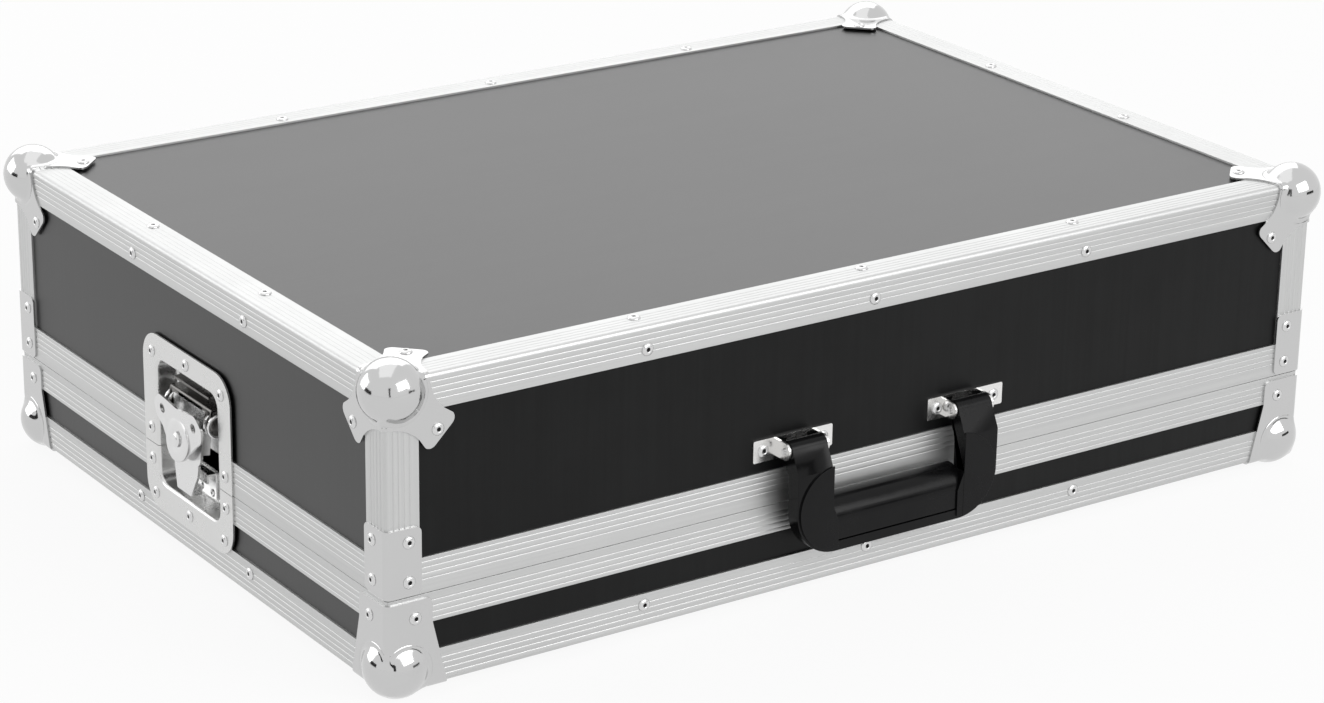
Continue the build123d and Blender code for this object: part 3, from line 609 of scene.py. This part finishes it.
def finishedPiece(name, mesh, material, body, replaced=(), wall=0.0, bevel=0.0, segments=2, angle=35):
    # A bmesh that is in place becomes a piece that rides on a body
    data = meshData(name, mesh)
    data.polygons.foreach_set("use_smooth", [True] * len(data.polygons))
    if not bevel and not wall:
        data.set_sharp_from_angle(angle=math.radians(angle))
    data.materials.append(material)
    obj = newObject(name, data)
    if wall:
        shell = obj.modifiers.new("wall", "SOLIDIFY")
        shell.thickness = wall
        shell.offset = -1
    if bevel:
        edge = roundEdges(obj, bevel, segments, angle)
        edge.harden_normals = bool(wall)
        if not wall:
            evenNormals(obj)
    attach(obj, body)
    if replaced:
        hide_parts(*replaced)
    return obj


def restFlat(p):
    # The foot's ball is pressed flat where it stands
    return Vector((p.x, p.y, max(p.z, -case["low"])))


def acrossTop(q):
    return Vector((q.x, q.y, -pressing["steel"]))


def acrossFront(q):
    return Vector((q.x, -pressing["steel"], q.y))


def acrossSide(q):
    return Vector((-pressing["steel"], q.y, q.x))


lug = lugOutline()
lugFaces = [(lug, acrossTop), (lug, acrossFront), (lug, acrossSide)]
cornerPiece("ballCorners", lugFaces, ballCorner, True, "lid", "lid_ball_corners")
feetFaces = [(soleOutline(), acrossTop), (legOutline(False), acrossFront), (legOutline(True), acrossSide)]
cornerPiece("footCorners", feetFaces, footCorner, False, "base", "base_foot_corners", restFlat)
print("pressed corners made")

# Blind rivets

rivetHead = {
    "radius": 0.004,
    "segments": 20,
    # radius and height of the turned head: flange, dome, and the hole the mandrel left
    "profile": [(4.0, 0.0), (4.0, 0.22), (3.75, 0.62), (3.1, 1.08), (2.3, 1.36), (1.75, 1.4), (1.4, 1.22),
                (1.18, 0.8), (1.12, 0.1)],
    "shankEnd": (0.75, 0.25),  # the mandrel's broken end, deep in the hole
    "holeRadius": 0.00125,
}


def rivetHeadMesh():
    mesh = bmesh.new()
    rings = []
    profile = rivetHead["profile"] + [rivetHead["shankEnd"]]
    count = rivetHead["segments"]
    for radius, height in profile:
        ring = []
        for i in range(count):
            angle = math.tau * i / count
            spot = Vector((radius * math.cos(angle), radius * math.sin(angle), height))
            ring.append(mesh.verts.new(spot / 1000))
        rings.append(ring)
    for a, b in zip(rings, rings[1:]):
        for i in range(count):
            mesh.faces.new((a[i], a[(i + 1) % count], b[(i + 1) % count], b[i]))
    mesh.faces.new(rings[-1])
    mesh.faces.new(reversed(rings[0]))
    bmesh.ops.recalc_face_normals(mesh, faces=mesh.faces)
    # the points down the hole take the rivet steel's painted shade
    hole = mesh.verts.layers.float.new("hole")
    for vert in mesh.verts:
        reach = Vector((vert.co.x, vert.co.y)).length
        vert[hole] = 1.0 if reach < rivetHead["holeRadius"] else 0.0
    data = meshData("rivetHead", mesh)
    data.polygons.foreach_set("use_smooth", [True] * len(data.polygons))
    return data


def rivetPlaces(node):
    # Seat, outward direction and size of each head, from the solids of the frame's node
    mesh = bmesh.new()
    mesh.from_mesh(nodes[node].data)
    bmesh.ops.remove_doubles(mesh, verts=mesh.verts, dist=0.00001)
    left, places = set(mesh.verts), []
    while left:
        island, edge = set(), [left.pop()]
        while edge:
            vert = edge.pop()
            island.add(vert)
            for link in vert.link_edges:
                other = link.other_vert(vert)
                if other in left:
                    left.discard(other)
                    edge.append(other)
        faces = {f for v in island for f in v.link_faces}
        flats = {}
        for face in faces:
            key = tuple(round(value, 2) for value in face.normal)
            flats[key] = flats.get(key, 0.0) + face.calc_area()
        # the two ends are the largest flats, and the wider one is the seat
        ends = sorted(flats, key=flats.get, reverse=True)
        seat = Vector(ends[0])
        low = max(v.co.dot(seat) for v in island)
        ring = [v.co for v in island if v.co.dot(seat) > low - 0.00002]
        centre = sum(ring, Vector()) / len(ring)
        radius = sum((p - centre).length for p in ring) / len(ring)
        places.append((centre, -seat, radius / rivetHead["radius"]))
    mesh.free()
    return places


def rivetTree():
    tree = bpy.data.node_groups.new("headsOnPoints", "GeometryNodeTree")
    kinds = {"Geometry": "Geometry", "Head": "Object", "Seed": "Int", "Finish": "Material"}
    for label, kind in kinds.items():
        tree.interface.new_socket(label, in_out="INPUT", socket_type="NodeSocket" + kind)
    tree.interface.new_socket("Geometry", in_out="OUTPUT", socket_type="NodeSocketGeometry")
    entry = newNode(tree, "NodeGroupInput").outputs
    kind = "GeometryNodeInputNamedAttribute"
    facing = newNode(tree, kind, {"Name": "facing"}, data_type="FLOAT_VECTOR").outputs["Attribute"]
    size = newNode(tree, kind, {"Name": "size"}, data_type="FLOAT").outputs["Attribute"]
    turned = newNode(tree, "FunctionNodeAlignRotationToVector", {"Vector": facing}, axis="Z")
    spin = newNode(tree, "FunctionNodeRandomValue", {3: math.tau, "Seed": entry["Seed"]}, data_type="FLOAT")
    about = newNode(tree, "FunctionNodeAxisAngleToRotation", {"Axis": (0, 0, 1), "Angle": spin.outputs[1]})
    turns = {"Rotation": turned.outputs[0], "Rotate By": about.outputs[0]}
    both = newNode(tree, "FunctionNodeRotateRotation", turns, rotation_space="LOCAL")
    head = newNode(tree, "GeometryNodeObjectInfo", {"Object": entry["Head"]}).outputs["Geometry"]
    values = {"Points": entry["Geometry"], "Instance": head, "Rotation": both.outputs[0], "Scale": size}
    place = newNode(tree, "GeometryNodeInstanceOnPoints", values)
    real = newNode(tree, "GeometryNodeRealizeInstances", {0: place.outputs[0]})
    values = {"Geometry": real.outputs[0], "Material": entry["Finish"]}
    finish = newNode(tree, "GeometryNodeSetMaterial", values)
    newNode(tree, "NodeGroupOutput", {0: finish.outputs[0]})
    return tree


def grownFromTree(name, carrier, tree, values):
    # The tree's result as a plain mesh, with its inputs set by identifier
    made = carrier.modifiers.new("build", "NODES")
    made.node_group = tree
    for item in tree.interface.items_tree:
        if item.item_type == "SOCKET" and item.in_out == "INPUT" and item.name in values:
            made[item.identifier] = values[item.name]
    data = evaluatedMesh(carrier)
    data.name = name
    obj = newObject(name, data)
    carrier.modifiers.remove(made)
    bpy.data.objects.remove(carrier)
    return obj


headCarrier = newObject("headCarrier", rivetHeadMesh())
headTree = rivetTree()
rivetSets = [("baseRivets", "base_rivets", "base", 3), ("lidRivets", "lid_rivets", "lid", 8)]
for name, node, body, seed in rivetSets:
    places = rivetPlaces(node)
    points = bpy.data.meshes.new(name + "Points")
    points.from_pydata([tuple(place[0]) for place in places], [], [])
    facing = points.attributes.new("facing", "FLOAT_VECTOR", "POINT")
    facing.data.foreach_set("vector", [value for place in places for value in place[1]])
    size = points.attributes.new("size", "FLOAT", "POINT")
    size.data.foreach_set("value", [place[2] for place in places])
    carrier = newObject(name + "Points", points)
    values = {"Head": headCarrier, "Seed": seed, "Finish": rivetSteel}
    rivets = grownFromTree(name, carrier, headTree, values)
    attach(rivets, body)
    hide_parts(node)
    print(name, len(places))
bpy.data.objects.remove(headCarrier)

# Shapes drawn on a side of the case


def sideFrame(side):
    # Along the side, depth inwards and height over the extrusions' underside, in metres
    return onSide(side) @ Matrix.Translation((0, 0, case["low"]))


def slab(mesh, outline, near, far, axis="depth"):
    # A closed outline given a thickness: (along, height) through the depth, or
    # (depth, height) through the length
    def place(p, w):
        return (p[0], w, p[1]) if axis == "depth" else (w, p[0], p[1])

    front = [mesh.verts.new(place(p, near)) for p in outline]
    back = [mesh.verts.new(place(p, far)) for p in outline]
    faces = [mesh.faces.new(front), mesh.faces.new(list(reversed(back)))]
    for i in range(len(outline)):
        j = (i + 1) % len(outline)
        faces.append(mesh.faces.new((front[j], front[i], back[i], back[j])))
    bmesh.ops.recalc_face_normals(mesh, faces=faces)
    return faces


def circlePoints(centre, radius, count=32, start=0.0, sweep=360.0):
    closed = sweep == 360.0
    steps = count if closed else count + 1
    angles = [math.radians(start + sweep * i / count) for i in range(steps)]
    return [Vector((centre[0] + radius * math.cos(a), centre[1] + radius * math.sin(a))) for a in angles]


def roundedOutline(points, radii, steps=6):
    # Closed outline with every corner rounded by its own radius
    count, path = len(points), []
    for i in range(count):
        before, here, after = points[i - 1], points[i], points[(i + 1) % count]
        if radii[i]:
            path += roundedPath([before, here, after], [radii[i]], steps)[1:-1]
        else:
            path.append(Vector(here))
    return path


def roundedBox(halfWidth, low, high, radius, steps=6):
    corners = [(halfWidth, low), (halfWidth, high), (-halfWidth, high), (-halfWidth, low)]
    return roundedOutline(corners, [radius] * 4, steps)


def turnedRing(mesh, centre, profile, axis="depth", count=40):
    # A closed (radius, offset) profile turned about an axis through the centre
    rings = []
    for radius, offset in profile:
        ring = []
        for p in circlePoints((0, 0), radius, count):
            spot = (p.x, offset, p.y) if axis == "depth" else (offset, p.x, p.y)
            ring.append(mesh.verts.new(Vector(centre) + Vector(spot)))
        rings.append(ring)
    faces = []
    for a, b in zip(rings, rings[1:] + rings[:1]):
        for i in range(count):
            j = (i + 1) % count
            faces.append(mesh.faces.new((a[i], a[j], b[j], b[i])))
    bmesh.ops.recalc_face_normals(mesh, faces=faces)


# Recessed latch dishes

dish = {
    "halfWidth": 0.057,
    "low": 0.016,
    "high": 0.133,
    "cornerRadius": 0.018,
    "mouthHalf": 0.0395,
    "mouthLow": 0.035,
    "mouthHigh": 0.117,
    "mouthRadius": 0.008,
    "depth": 0.0128,
    "taper": math.tan(math.radians(8)),
    "lipRadius": 0.0022,
    "floorRadius": 0.0026,
    "steel": 0.0012,
    "windowHalf": 0.020,
    "windowLow": 0.0565,
    "windowHigh": 0.069,
    "seamGap": 0.0003,
    "ringPoints": 120,
}


def dishLoops():
    # Closed loops from the flange's edge over the lip, down the wall and along the floor
    d = dish
    count = d["ringPoints"]
    face = -d["steel"]

    def mouth(grow, depth):
        outline = roundedBox(d["mouthHalf"] + grow, d["mouthLow"] - grow, d["mouthHigh"] + grow,
                             d["mouthRadius"] + grow)
        return [(p, depth) for p in evenly(outline + outline[:1], count)[:-1]]

    flange = roundedBox(d["halfWidth"], d["low"], d["high"], d["cornerRadius"], 10)
    loops = [[(p, face) for p in evenly(flange + flange[:1], count)[:-1]]]
    lip, foot = d["lipRadius"], d["floorRadius"]
    for i in range(7):
        angle = math.pi / 2 * i / 6
        loops.append(mouth(lip * (1 - math.sin(angle)), face + lip * (1 - math.cos(angle))))
    drop = d["depth"] - foot - face - lip
    for i in range(6):
        angle = math.pi / 2 * i / 5
        shrink = -drop * d["taper"] - foot * (1 - math.cos(angle))
        loops.append(mouth(shrink, d["depth"] - foot + foot * math.sin(angle)))
    window = roundedBox(d["windowHalf"], d["windowLow"], d["windowHigh"], 0.0008, 3)
    loops.append([(p, d["depth"]) for p in evenly(window + window[:1], count)[:-1]])
    return loops


def dishPiece(side, part):
    mesh = bmesh.new()
    rings = [[mesh.verts.new((p.x, depth, p.y)) for p, depth in loop] for loop in dishLoops()]
    count = dish["ringPoints"]
    for a, b in zip(rings, rings[1:]):
        for i in range(count):
            mesh.faces.new((a[i], a[(i + 1) % count], b[(i + 1) % count], b[i]))
    seam = case["seam"] - case["low"] + (dish["seamGap"] if part == "lid" else 0.0)
    geometry = mesh.verts[:] + mesh.edges[:] + mesh.faces[:]
    bmesh.ops.bisect_plane(mesh, geom=geometry, plane_co=(0, 0, seam), plane_no=(0, 0, 1),
                           clear_inner=part == "lid", clear_outer=part == "base")
    bmesh.ops.recalc_face_normals(mesh, faces=mesh.faces)
    if sum(f.normal.y * f.calc_area() for f in mesh.faces) > 0:
        bmesh.ops.reverse_faces(mesh, faces=mesh.faces)
    mesh.transform(sideFrame(side))
    finishedPiece(f"{part}LatchDish-{side}", mesh, dishSteel, part,
                  [f"{part}_latch_dish_{side}"], wall=dish["steel"], bevel=0.0003, angle=50)


# Butterfly latch

latch = {
    "pivotDepth": 0.006,
    "pivotUp": 0.093,
    "restTilt": 7.0,
    "keyDown": 0.0165,
    "keyFace": -0.0035,  # back of the key's plate
    "keyThick": 0.0016,
    "washer": (0.008, -0.0033, -0.0005),  # radius, and the depths of its two faces
    "discRadius": 0.014,
    "discHeight": 0.0018,
    "wingHole": (0.0202, 0.0136),
    "wingBendFrom": 0.003,
    "wingBend": 0.2,
    "wingHoleRadius": 0.0031,
    "hubHole": 0.00412,
    "earHalf": 0.0226,
    # the rims' sections: radius and way out from the ear, in mm
    "innerRim": [(7.6, -0.2), (7.9, 0.6), (7.6, 1.5), (6.7, 1.7), (5.9, 1.3), (5.7, -0.2)],
    "outerRim": [(7.4, 4.2), (7.9, 4.9), (7.9, 5.9), (7.3, 6.4), (6.3, 6.2), (5.8, 5.4), (5.8, 4.2)],
    "strapHalf": 0.0335,
    "strapLow": 0.0697,
    "strapHigh": 0.1105,
    "floor": 0.0128,
    "plateThick": 0.0012,
    "barrelHalf": 0.0271,
    "barrelRadius": 0.0056,
    "barrelChamfer": (0.001, 0.0006),
    "hoodHalf": 0.0268,
    "hoodTop": 0.1037,
    "hoodLip": 0.0016,
    "hoodSideLip": 0.0064,
    "sleeveFrom": 0.0156,  # less than the arm's half width: the sleeves and side lips cut into the arm
    "hoodBend": 0.0014,
    "cheekLow": 0.088,
    "cheekRing": 0.0066,
    "hoodFront": 0.0016,
    "hoodThick": 0.0012,
}
# half the key's outline in mm, from its top middle round to below the disc, with corner radii
keyHalf = [((0.0, 19.6), 9.0), ((13.5, 21.4), 14.0), ((23.5, 22.4), 5.5), ((31.2, 15.8), 5.5),
           ((29.2, 6.6), 4.5), ((21.6, 1.8), 3.0), ((16.0, -3.6), 3.0), ((12.4, -6.4), 0)]
keyArc = {"radius": 14.0, "steps": 14, "start": -27.3, "sweep": -125.4}  # round the foot of the disc


def tilted(mesh, side):
    # From the upright latch to its released place on a side of the case
    pivot = Matrix.Translation((0, latch["pivotDepth"], latch["pivotUp"]))
    swing = Matrix.Rotation(math.radians(-latch["restTilt"]), 4, "X")
    mesh.transform(sideFrame(side) @ pivot @ swing @ pivot.inverted())
    return mesh


def keyOutline():
    points = [(x, y) for (x, y), radius in keyHalf]
    radii = [radius for _, radius in keyHalf]
    mirrored = [(-x, y) for x, y in reversed(points[1:])]
    discSide = circlePoints((0, 0), keyArc["radius"], keyArc["steps"], keyArc["start"], keyArc["sweep"])
    arc = [(p.x, p.y) for p in discSide]
    outline = points + arc[1:-1] + mirrored
    allRadii = radii + [0] * len(arc[1:-1]) + list(reversed(radii[1:]))
    return [p / 1000 for p in roundedOutline(outline, allRadii, 5)]


def plateWithHoles(mesh, outline, holes, near, far):
    # Flat plate between two depths; holes are (centre, radius)
    edges = []
    for loop in [outline] + [circlePoints(centre, radius, 24) for centre, radius in holes]:
        verts = [mesh.verts.new((p[0], near, p[1])) for p in loop]
        edges += [mesh.edges.new((verts[i - 1], verts[i])) for i in range(len(verts))]
    fill = bmesh.ops.triangle_fill(mesh, use_beauty=True, use_dissolve=False, edges=edges)
    faces = [item for item in fill["geom"] if isinstance(item, bmesh.types.BMFace)]
    raised = bmesh.ops.extrude_face_region(mesh, geom=faces)
    moved = [item for item in raised["geom"] if isinstance(item, bmesh.types.BMVert)]
    bmesh.ops.translate(mesh, verts=moved, vec=(0, far - near, 0))
    bmesh.ops.recalc_face_normals(mesh, faces=mesh.faces)


def latchKey(side):
    # Stamped butterfly plate, its two wings pierced, over a round hub
    mesh = bmesh.new()
    up = latch["pivotUp"] - latch["keyDown"]
    outline = [p + Vector((0, up)) for p in keyOutline()]
    x, y = latch["wingHole"]
    holes = [((x, up + y), latch["wingHoleRadius"]), ((-x, up + y), latch["wingHoleRadius"]),
             ((0, up), latch["hubHole"])]
    plateWithHoles(mesh, outline, holes, latch["keyFace"], latch["keyFace"] - latch["keyThick"])
    for vert in mesh.verts:
        # the wings lean outwards for the fingers
        vert.co.y -= max(vert.co.z - up - latch["wingBendFrom"], 0.0) * latch["wingBend"]
    inner = latch["hubHole"]
    outer, near, far = latch["washer"]
    turnedRing(mesh, (0, 0, up), [(inner, near), (outer, near), (outer, far), (inner, far)])
    finishedPiece("latchKey-" + side, tilted(mesh, side), latchSteel, side + "_latch_key",
                  ["latch_key_" + side], bevel=0.00038, segments=3, angle=50)


def latchDisc(side):
    # Pressed cap over the key's hub, flat with a rolled edge and a dimple round the spindle
    mesh = bmesh.new()
    up = latch["pivotUp"] - latch["keyDown"]
    back = latch["keyFace"] - latch["keyThick"] - 0.00005
    r, h = latch["discRadius"], latch["discHeight"]
    profile = [(latch["hubHole"], back), (r - 0.0004, back), (r, back - 0.0005), (r, back - h + 0.0008),
               (r - 0.0003, back - h + 0.0003), (r - 0.0011, back - h), (0.0075, back - h - 0.0002),
               (0.0062, back - h + 0.0002), (latch["hubHole"], back - h + 0.0002)]
    turnedRing(mesh, (0, 0, up), profile, count=64)
    finishedPiece("latchDisc-" + side, tilted(mesh, side), latchSteel, side + "_latch_key",
                  ["latch_disc_" + side])


def latchRings(side):
    # Rolled rims round the bracket's two ears, and a sleeve on the pivot at each side of the hook
    rims, barrel = bmesh.new(), bmesh.new()
    centre = (0, latch["pivotDepth"], latch["pivotUp"])
    reach, start, radius = latch["barrelHalf"], latch["sleeveFrom"], latch["barrelRadius"]
    inwards, back = latch["barrelChamfer"]
    sleeve = [(0.0004, start), (radius, start), (radius, reach - back), (radius - inwards, reach),
              (0.0004, reach)]
    for way in (-1, 1):
        for section in (latch["innerRim"], latch["outerRim"]):
            profile = [(r / 1000, way * (latch["earHalf"] + out / 1000)) for r, out in section]
            turnedRing(rims, centre, profile, "along")
        turnedRing(barrel, centre, [(r, way * out) for r, out in sleeve], "along", 28)
    for mesh in (rims, barrel):
        mesh.transform(sideFrame(side))
    finishedPiece("latchBarrel-" + side, barrel, paintedDarkLatchSteel, "lid")
    finishedPiece("latchEarRims-" + side, rims, latchSteel, "lid")


def latchStrap(side):
    # Strap that ties the bracket to the dish's floor
    mesh = bmesh.new()
    outline = roundedBox(latch["strapHalf"], latch["strapLow"], latch["strapHigh"], 0.0008, 3)
    slab(mesh, outline, latch["floor"] - latch["plateThick"], latch["floor"] - 0.00002)
    mesh.transform(sideFrame(side))
    finishedPiece("latchStrap-" + side, mesh, latchSteel, "lid", bevel=0.0003)


def latchHood(side):
    # Folded hood over the pivot: top, turned-down lips and two end cheeks cut round the pivot
    mesh = bmesh.new()
    front, back, top = latch["hoodFront"], latch["floor"] - latch["plateThick"], latch["hoodTop"]
    thick, half = latch["hoodThick"], latch["hoodHalf"]
    low, sideLow, room = top - latch["hoodLip"], top - latch["hoodSideLip"], latch["sleeveFrom"]
    path = [(front, low), (front, top), (back, top), (back, top - thick), (front + thick, top - thick),
            (front + thick, low)]
    slab(mesh, roundedOutline(path, [0, latch["hoodBend"], 0, 0, 0.0003, 0], 5), -half, half, "along")
    lip = [Vector((front, sideLow)), Vector((front, low)), Vector((front + thick, low)),
           Vector((front + thick, sideLow))]
    slab(mesh, lip, -half, -room, "along")
    slab(mesh, lip, room, half, "along")
    ring = circlePoints((latch["pivotDepth"], latch["pivotUp"]), latch["cheekRing"], 18, 180, 180)
    under = top - 0.0005
    rear = [Vector((back, latch["cheekLow"])), Vector((back, under))]
    cheek = [Vector((front + 0.0002, under))] + ring + rear
    for at in (-half, half - thick):
        slab(mesh, cheek, at, at + thick, "along")
    mesh.transform(sideFrame(side))
    finishedPiece("latchHood-" + side, mesh, paintedDarkLatchSteel, "lid", bevel=0.0003, angle=40)


for side in ("left", "right"):
    latchHood(side)
    for part in ("lid", "base"):
        dishPiece(side, part)
    latchKey(side)
    latchDisc(side)
    latchRings(side)
    latchStrap(side)
print("latches made")

# Drop handle

handle = {
    "low": 0.028,
    "bandThick": 0.006,
    "faceOut": 0.0205,
    "padHeight": 0.001,
    "gripHalf": 0.0503,
    "toeReach": 0.0455,
    "gripFront": 0.0202,
    "gripBack": 0.003,
    "gripTop": 0.0605,
    "gripGap": 0.0005,
    "gripWall": 0.0026,
    "toeOuter": 0.0515,
    "toeSink": 0.004,
    "toeInnerTop": 0.047,
    "toeOuterTop": 0.063,
    "toeBack": 0.015,
}


def mergeFlats(mesh, degrees):
    bmesh.ops.remove_doubles(mesh, verts=mesh.verts, dist=0.00001)
    bmesh.ops.dissolve_limit(mesh, angle_limit=math.radians(degrees), verts=mesh.verts, edges=mesh.edges)


def handleFrame():
    # The frame's own solid, with a toe added under each round pad where the grip runs in
    h = handle
    mesh = bmesh.new()
    mesh.from_mesh(nodes["handle_frame"].data)
    mergeFlats(mesh, 1)
    solid = newObject("handleSolid", meshData("handleSolid", mesh))
    toes = bmesh.new()
    low = h["low"] + h["bandThick"] - h["toeSink"]
    for way in (-1, 1):
        inner, outer = way * h["toeReach"], way * h["toeOuter"]
        outline = [(outer, low), (inner, low), (inner, h["toeInnerTop"]), (outer, h["toeOuterTop"])]
        slab(toes, outline, -h["faceOut"] - h["padHeight"], -h["toeBack"])
    toes.transform(sideFrame("front"))
    added = newObject("toes", meshData("toes", toes))
    joinUp = solid.modifiers.new("toes", "BOOLEAN")
    joinUp.operation = "UNION"
    joinUp.solver = "EXACT"
    joinUp.object = added
    result = evaluatedMesh(solid)
    bpy.data.objects.remove(added)
    bpy.data.objects.remove(solid)
    mesh = bmesh.new()
    mesh.from_mesh(result)
    mergeFlats(mesh, 2)
    finishedPiece("handleFrame", mesh, handlePlastic, "handle", ["handle_frame"],
                  bevel=0.0006, segments=3, angle=28)


def handleGrip():
    # Moulded trough: flat in front, rounded over its top, and open towards the case
    h = handle
    low = h["low"] + h["bandThick"] + h["gripGap"]
    front, back, top = -h["gripFront"], -h["gripBack"], h["gripTop"]
    outer = roundedPath([(back, low + 0.010), (back, low), (front, low), (front, top), (back, top),
                         (back, top - 0.010)], [0.002, 0.0008, 0.0142, 0.0025], 12)
    wall = h["gripWall"]
    inner = roundedPath([(back, top - 0.010), (back - wall, top - 0.010), (back - wall, top - wall),
                         (front + wall, top - wall), (front + wall, low + wall), (back - wall, low + wall),
                         (back - wall, low + 0.010), (back, low + 0.010)],
                        [0.0008, 0.001, 0.0116, 0.001, 0.001, 0.0008], 8)
    mesh = bmesh.new()
    slab(mesh, outer + inner[1:-1], -h["gripHalf"], h["gripHalf"], "along")
    mesh.transform(sideFrame("front"))
    finishedPiece("handleGrip", mesh, handlePlastic, "handle", ["handle_grip"],
                  bevel=0.0004, segments=2, angle=40)


handleFrame()
handleGrip()
print("handle made")

# Foam and loop mat inside

foam = {"fill": 0.9, "pull": 0.0004, "waveSize": 45.0, "topVoxel": 0.0045, "wallVoxel": 0.0026}
mat = {"thick": 0.0024, "step": 0.006, "inset": 0.0008, "wave": 0.00025, "waveSize": 14.0}


def foamPiece(name, node, voxel):
    # The node's form cut from soft foam: edges rounded over, faces slightly uneven
    obj = newObject("foamBlock", nodes[node].data.copy())
    weldPoints(obj)
    remesh = obj.modifiers.new("cells", "REMESH")
    remesh.mode = "VOXEL"
    remesh.voxel_size = voxel
    cut = evaluatedMesh(obj)
    bpy.data.objects.remove(obj)
    mesh = bmesh.new()
    mesh.from_mesh(cut)
    mesh.normal_update()
    for vert in mesh.verts:
        wave = 0.5 + 0.5 * noise.noise(vert.co * foam["waveSize"])
        vert.co -= vert.normal * (foam["pull"] * (0.3 + wave))
    piece = finishedPiece(name, mesh, foamCell, "lid", [node])


def loopMat():
    low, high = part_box("base_loop_mat")
    width, depth = high[0] - low[0] - 2 * mat["inset"], high[1] - low[1] - 2 * mat["inset"]
    mesh = bmesh.new()
    across, along = int(width / mat["step"]), int(depth / mat["step"])
    rows = []
    for j in range(along + 1):
        row = []
        for i in range(across + 1):
            x = low[0] + mat["inset"] + width * i / across
            y = low[1] + mat["inset"] + depth * j / along
            z = high[2] - mat["wave"] * (0.2 + abs(noise.noise(Vector((x, y, 0)) * mat["waveSize"])))
            row.append(mesh.verts.new((x, y, z)))
        rows.append(row)
    for below, above in zip(rows, rows[1:]):
        for i in range(across):
            mesh.faces.new((below[i], below[i + 1], above[i + 1], above[i]))
    piece = finishedPiece("loopMat", mesh, matPile, "base", ["base_loop_mat"], wall=mat["thick"])


foamPiece("lidTopFoam", "lid_top_foam", foam["topVoxel"])
foamPiece("lidWallFoam", "lid_wall_foam", foam["wallVoxel"])
loopMat()
print("foam and mat made")

# Floor, light and camera

studio = {
    "floorSize": 30.0,
    "floorColour": (0.86, 0.86, 0.86, 1),
    "floorLift": 0.9,
    "ambient": 0.5,
}


def buildFloor():
    bpy.ops.mesh.primitive_plane_add(size=studio["floorSize"], location=(0, 0, 0))
    floor = bpy.context.object
    floor.name = "floor"
    material, tree, shader = newMaterial(
        "paleFloor", Base_Color=studio["floorColour"], Roughness=0.9, Specular_IOR_Level=0.1)
    seen = seenOrMirrored(tree)
    white = newNode(tree, "ShaderNodeEmission", {"Color": (1, 1, 1, 1), "Strength": 1.0})
    lift = mathNode(tree, "MULTIPLY", seen, studio["floorLift"])
    blend = newNode(tree, "ShaderNodeMixShader", {0: lift, 1: shader.outputs[0], 2: white.outputs[0]})
    feed(tree, tree.nodes["Material Output"], {0: blend.outputs[0]})
    floor.data.materials.append(material)


def buildWorld():
    world = bpy.data.worlds.new("studioRoom")
    bpy.context.scene.world = world
    world.use_nodes = True
    tree = world.node_tree
    room = tree.nodes["Background"]
    feed(tree, room, {"Color": (1, 1, 1, 1), "Strength": studio["ambient"]})
    seen = seenOrMirrored(tree)
    backdrop = newNode(tree, "ShaderNodeBackground", {"Color": (1, 1, 1, 1), "Strength": 1.0})
    blend = newNode(tree, "ShaderNodeMixShader", {0: seen, 1: room.outputs[0], 2: backdrop.outputs[0]})
    feed(tree, tree.nodes["World Output"], {0: blend.outputs[0]})


def softbox(name, place, aim, size, power):
    data = bpy.data.lights.new(name, "AREA")
    data.shape = "RECTANGLE"
    data.size, data.size_y = size
    data.energy = power
    lamp = newObject(name, data)
    lamp.location = place
    lamp.rotation_euler = (Vector(aim) - Vector(place)).to_track_quat("-Z", "Y").to_euler()


# place, aim, size and watts of each lamp
lamps = {
    "overhead": ((-0.3, 0.3, 2.3), (0, 0, 0.1), (2.6, 1.6), 5.0),
    "backWall": ((0.8, 2.3, 2.0), (-0.15, -0.1, 0.2), (4.0, 2.9), 32.5),
    "leftWall": ((-1.9, 1.6, 0.7), (-0.3, 0, 0.1), (1.6, 1.2), 11.0),
    "frontFill": ((0.7, -2.8, 1.7), (0, 0, 0.1), (2.4, 1.5), 50.0),
}

# place, size and aim of each card
cards = {
    "cameraStand": ((-1.50, -2.19, 0.76), (0.30, 1.3), (0, 0, 0.6)),
    "doorway": ((-2.6, 0.75, 0.30), (1.3, 0.42), (-0.3, -0.2, 0.3)),
    "roomCorner": ((1.9, -2.3, 0.22), (1.5, 0.30), (0, 0, 0.15)),
}

view = {
    "place": (-1.313806, -1.915801, 0.947513),
    "turnDegrees": (69.37843, -0.81389, -34.0864),
    "lens": 102.146,
    "sensor": 36.0,
}


def darkCard(name, place, size, aim):
    # Black card out of the camera's view, for the bright metal to mirror
    bpy.ops.mesh.primitive_plane_add(size=1.0, location=place)
    card = bpy.context.object
    card.name = name
    card.scale = (size[0], size[1], 1)
    card.rotation_euler = (Vector(aim) - Vector(place)).to_track_quat("Z", "Y").to_euler()
    card.data.materials.append(cardBlack)
    card.visible_camera = False


def buildCamera():
    data = bpy.data.cameras.new("viewCamera")
    data.sensor_width = view["sensor"]
    data.lens = view["lens"]
    data.clip_start = 0.01
    camera = newObject("viewCamera", data)
    camera.location = view["place"]
    camera.rotation_euler = [math.radians(angle) for angle in view["turnDegrees"]]
    bpy.context.scene.camera = camera


buildFloor()
buildWorld()
cardBlack = newMaterial("cardBlack", Base_Color=(0.01, 0.01, 0.01, 1), Roughness=0.9)[0]
for name, (place, size, aim) in cards.items():
    darkCard(name, place, size, aim)
for name, (place, aim, size, power) in lamps.items():
    softbox(name, place, aim, size, power)
buildCamera()
bpy.context.scene.view_settings.view_transform = "Standard"
print("studio built")
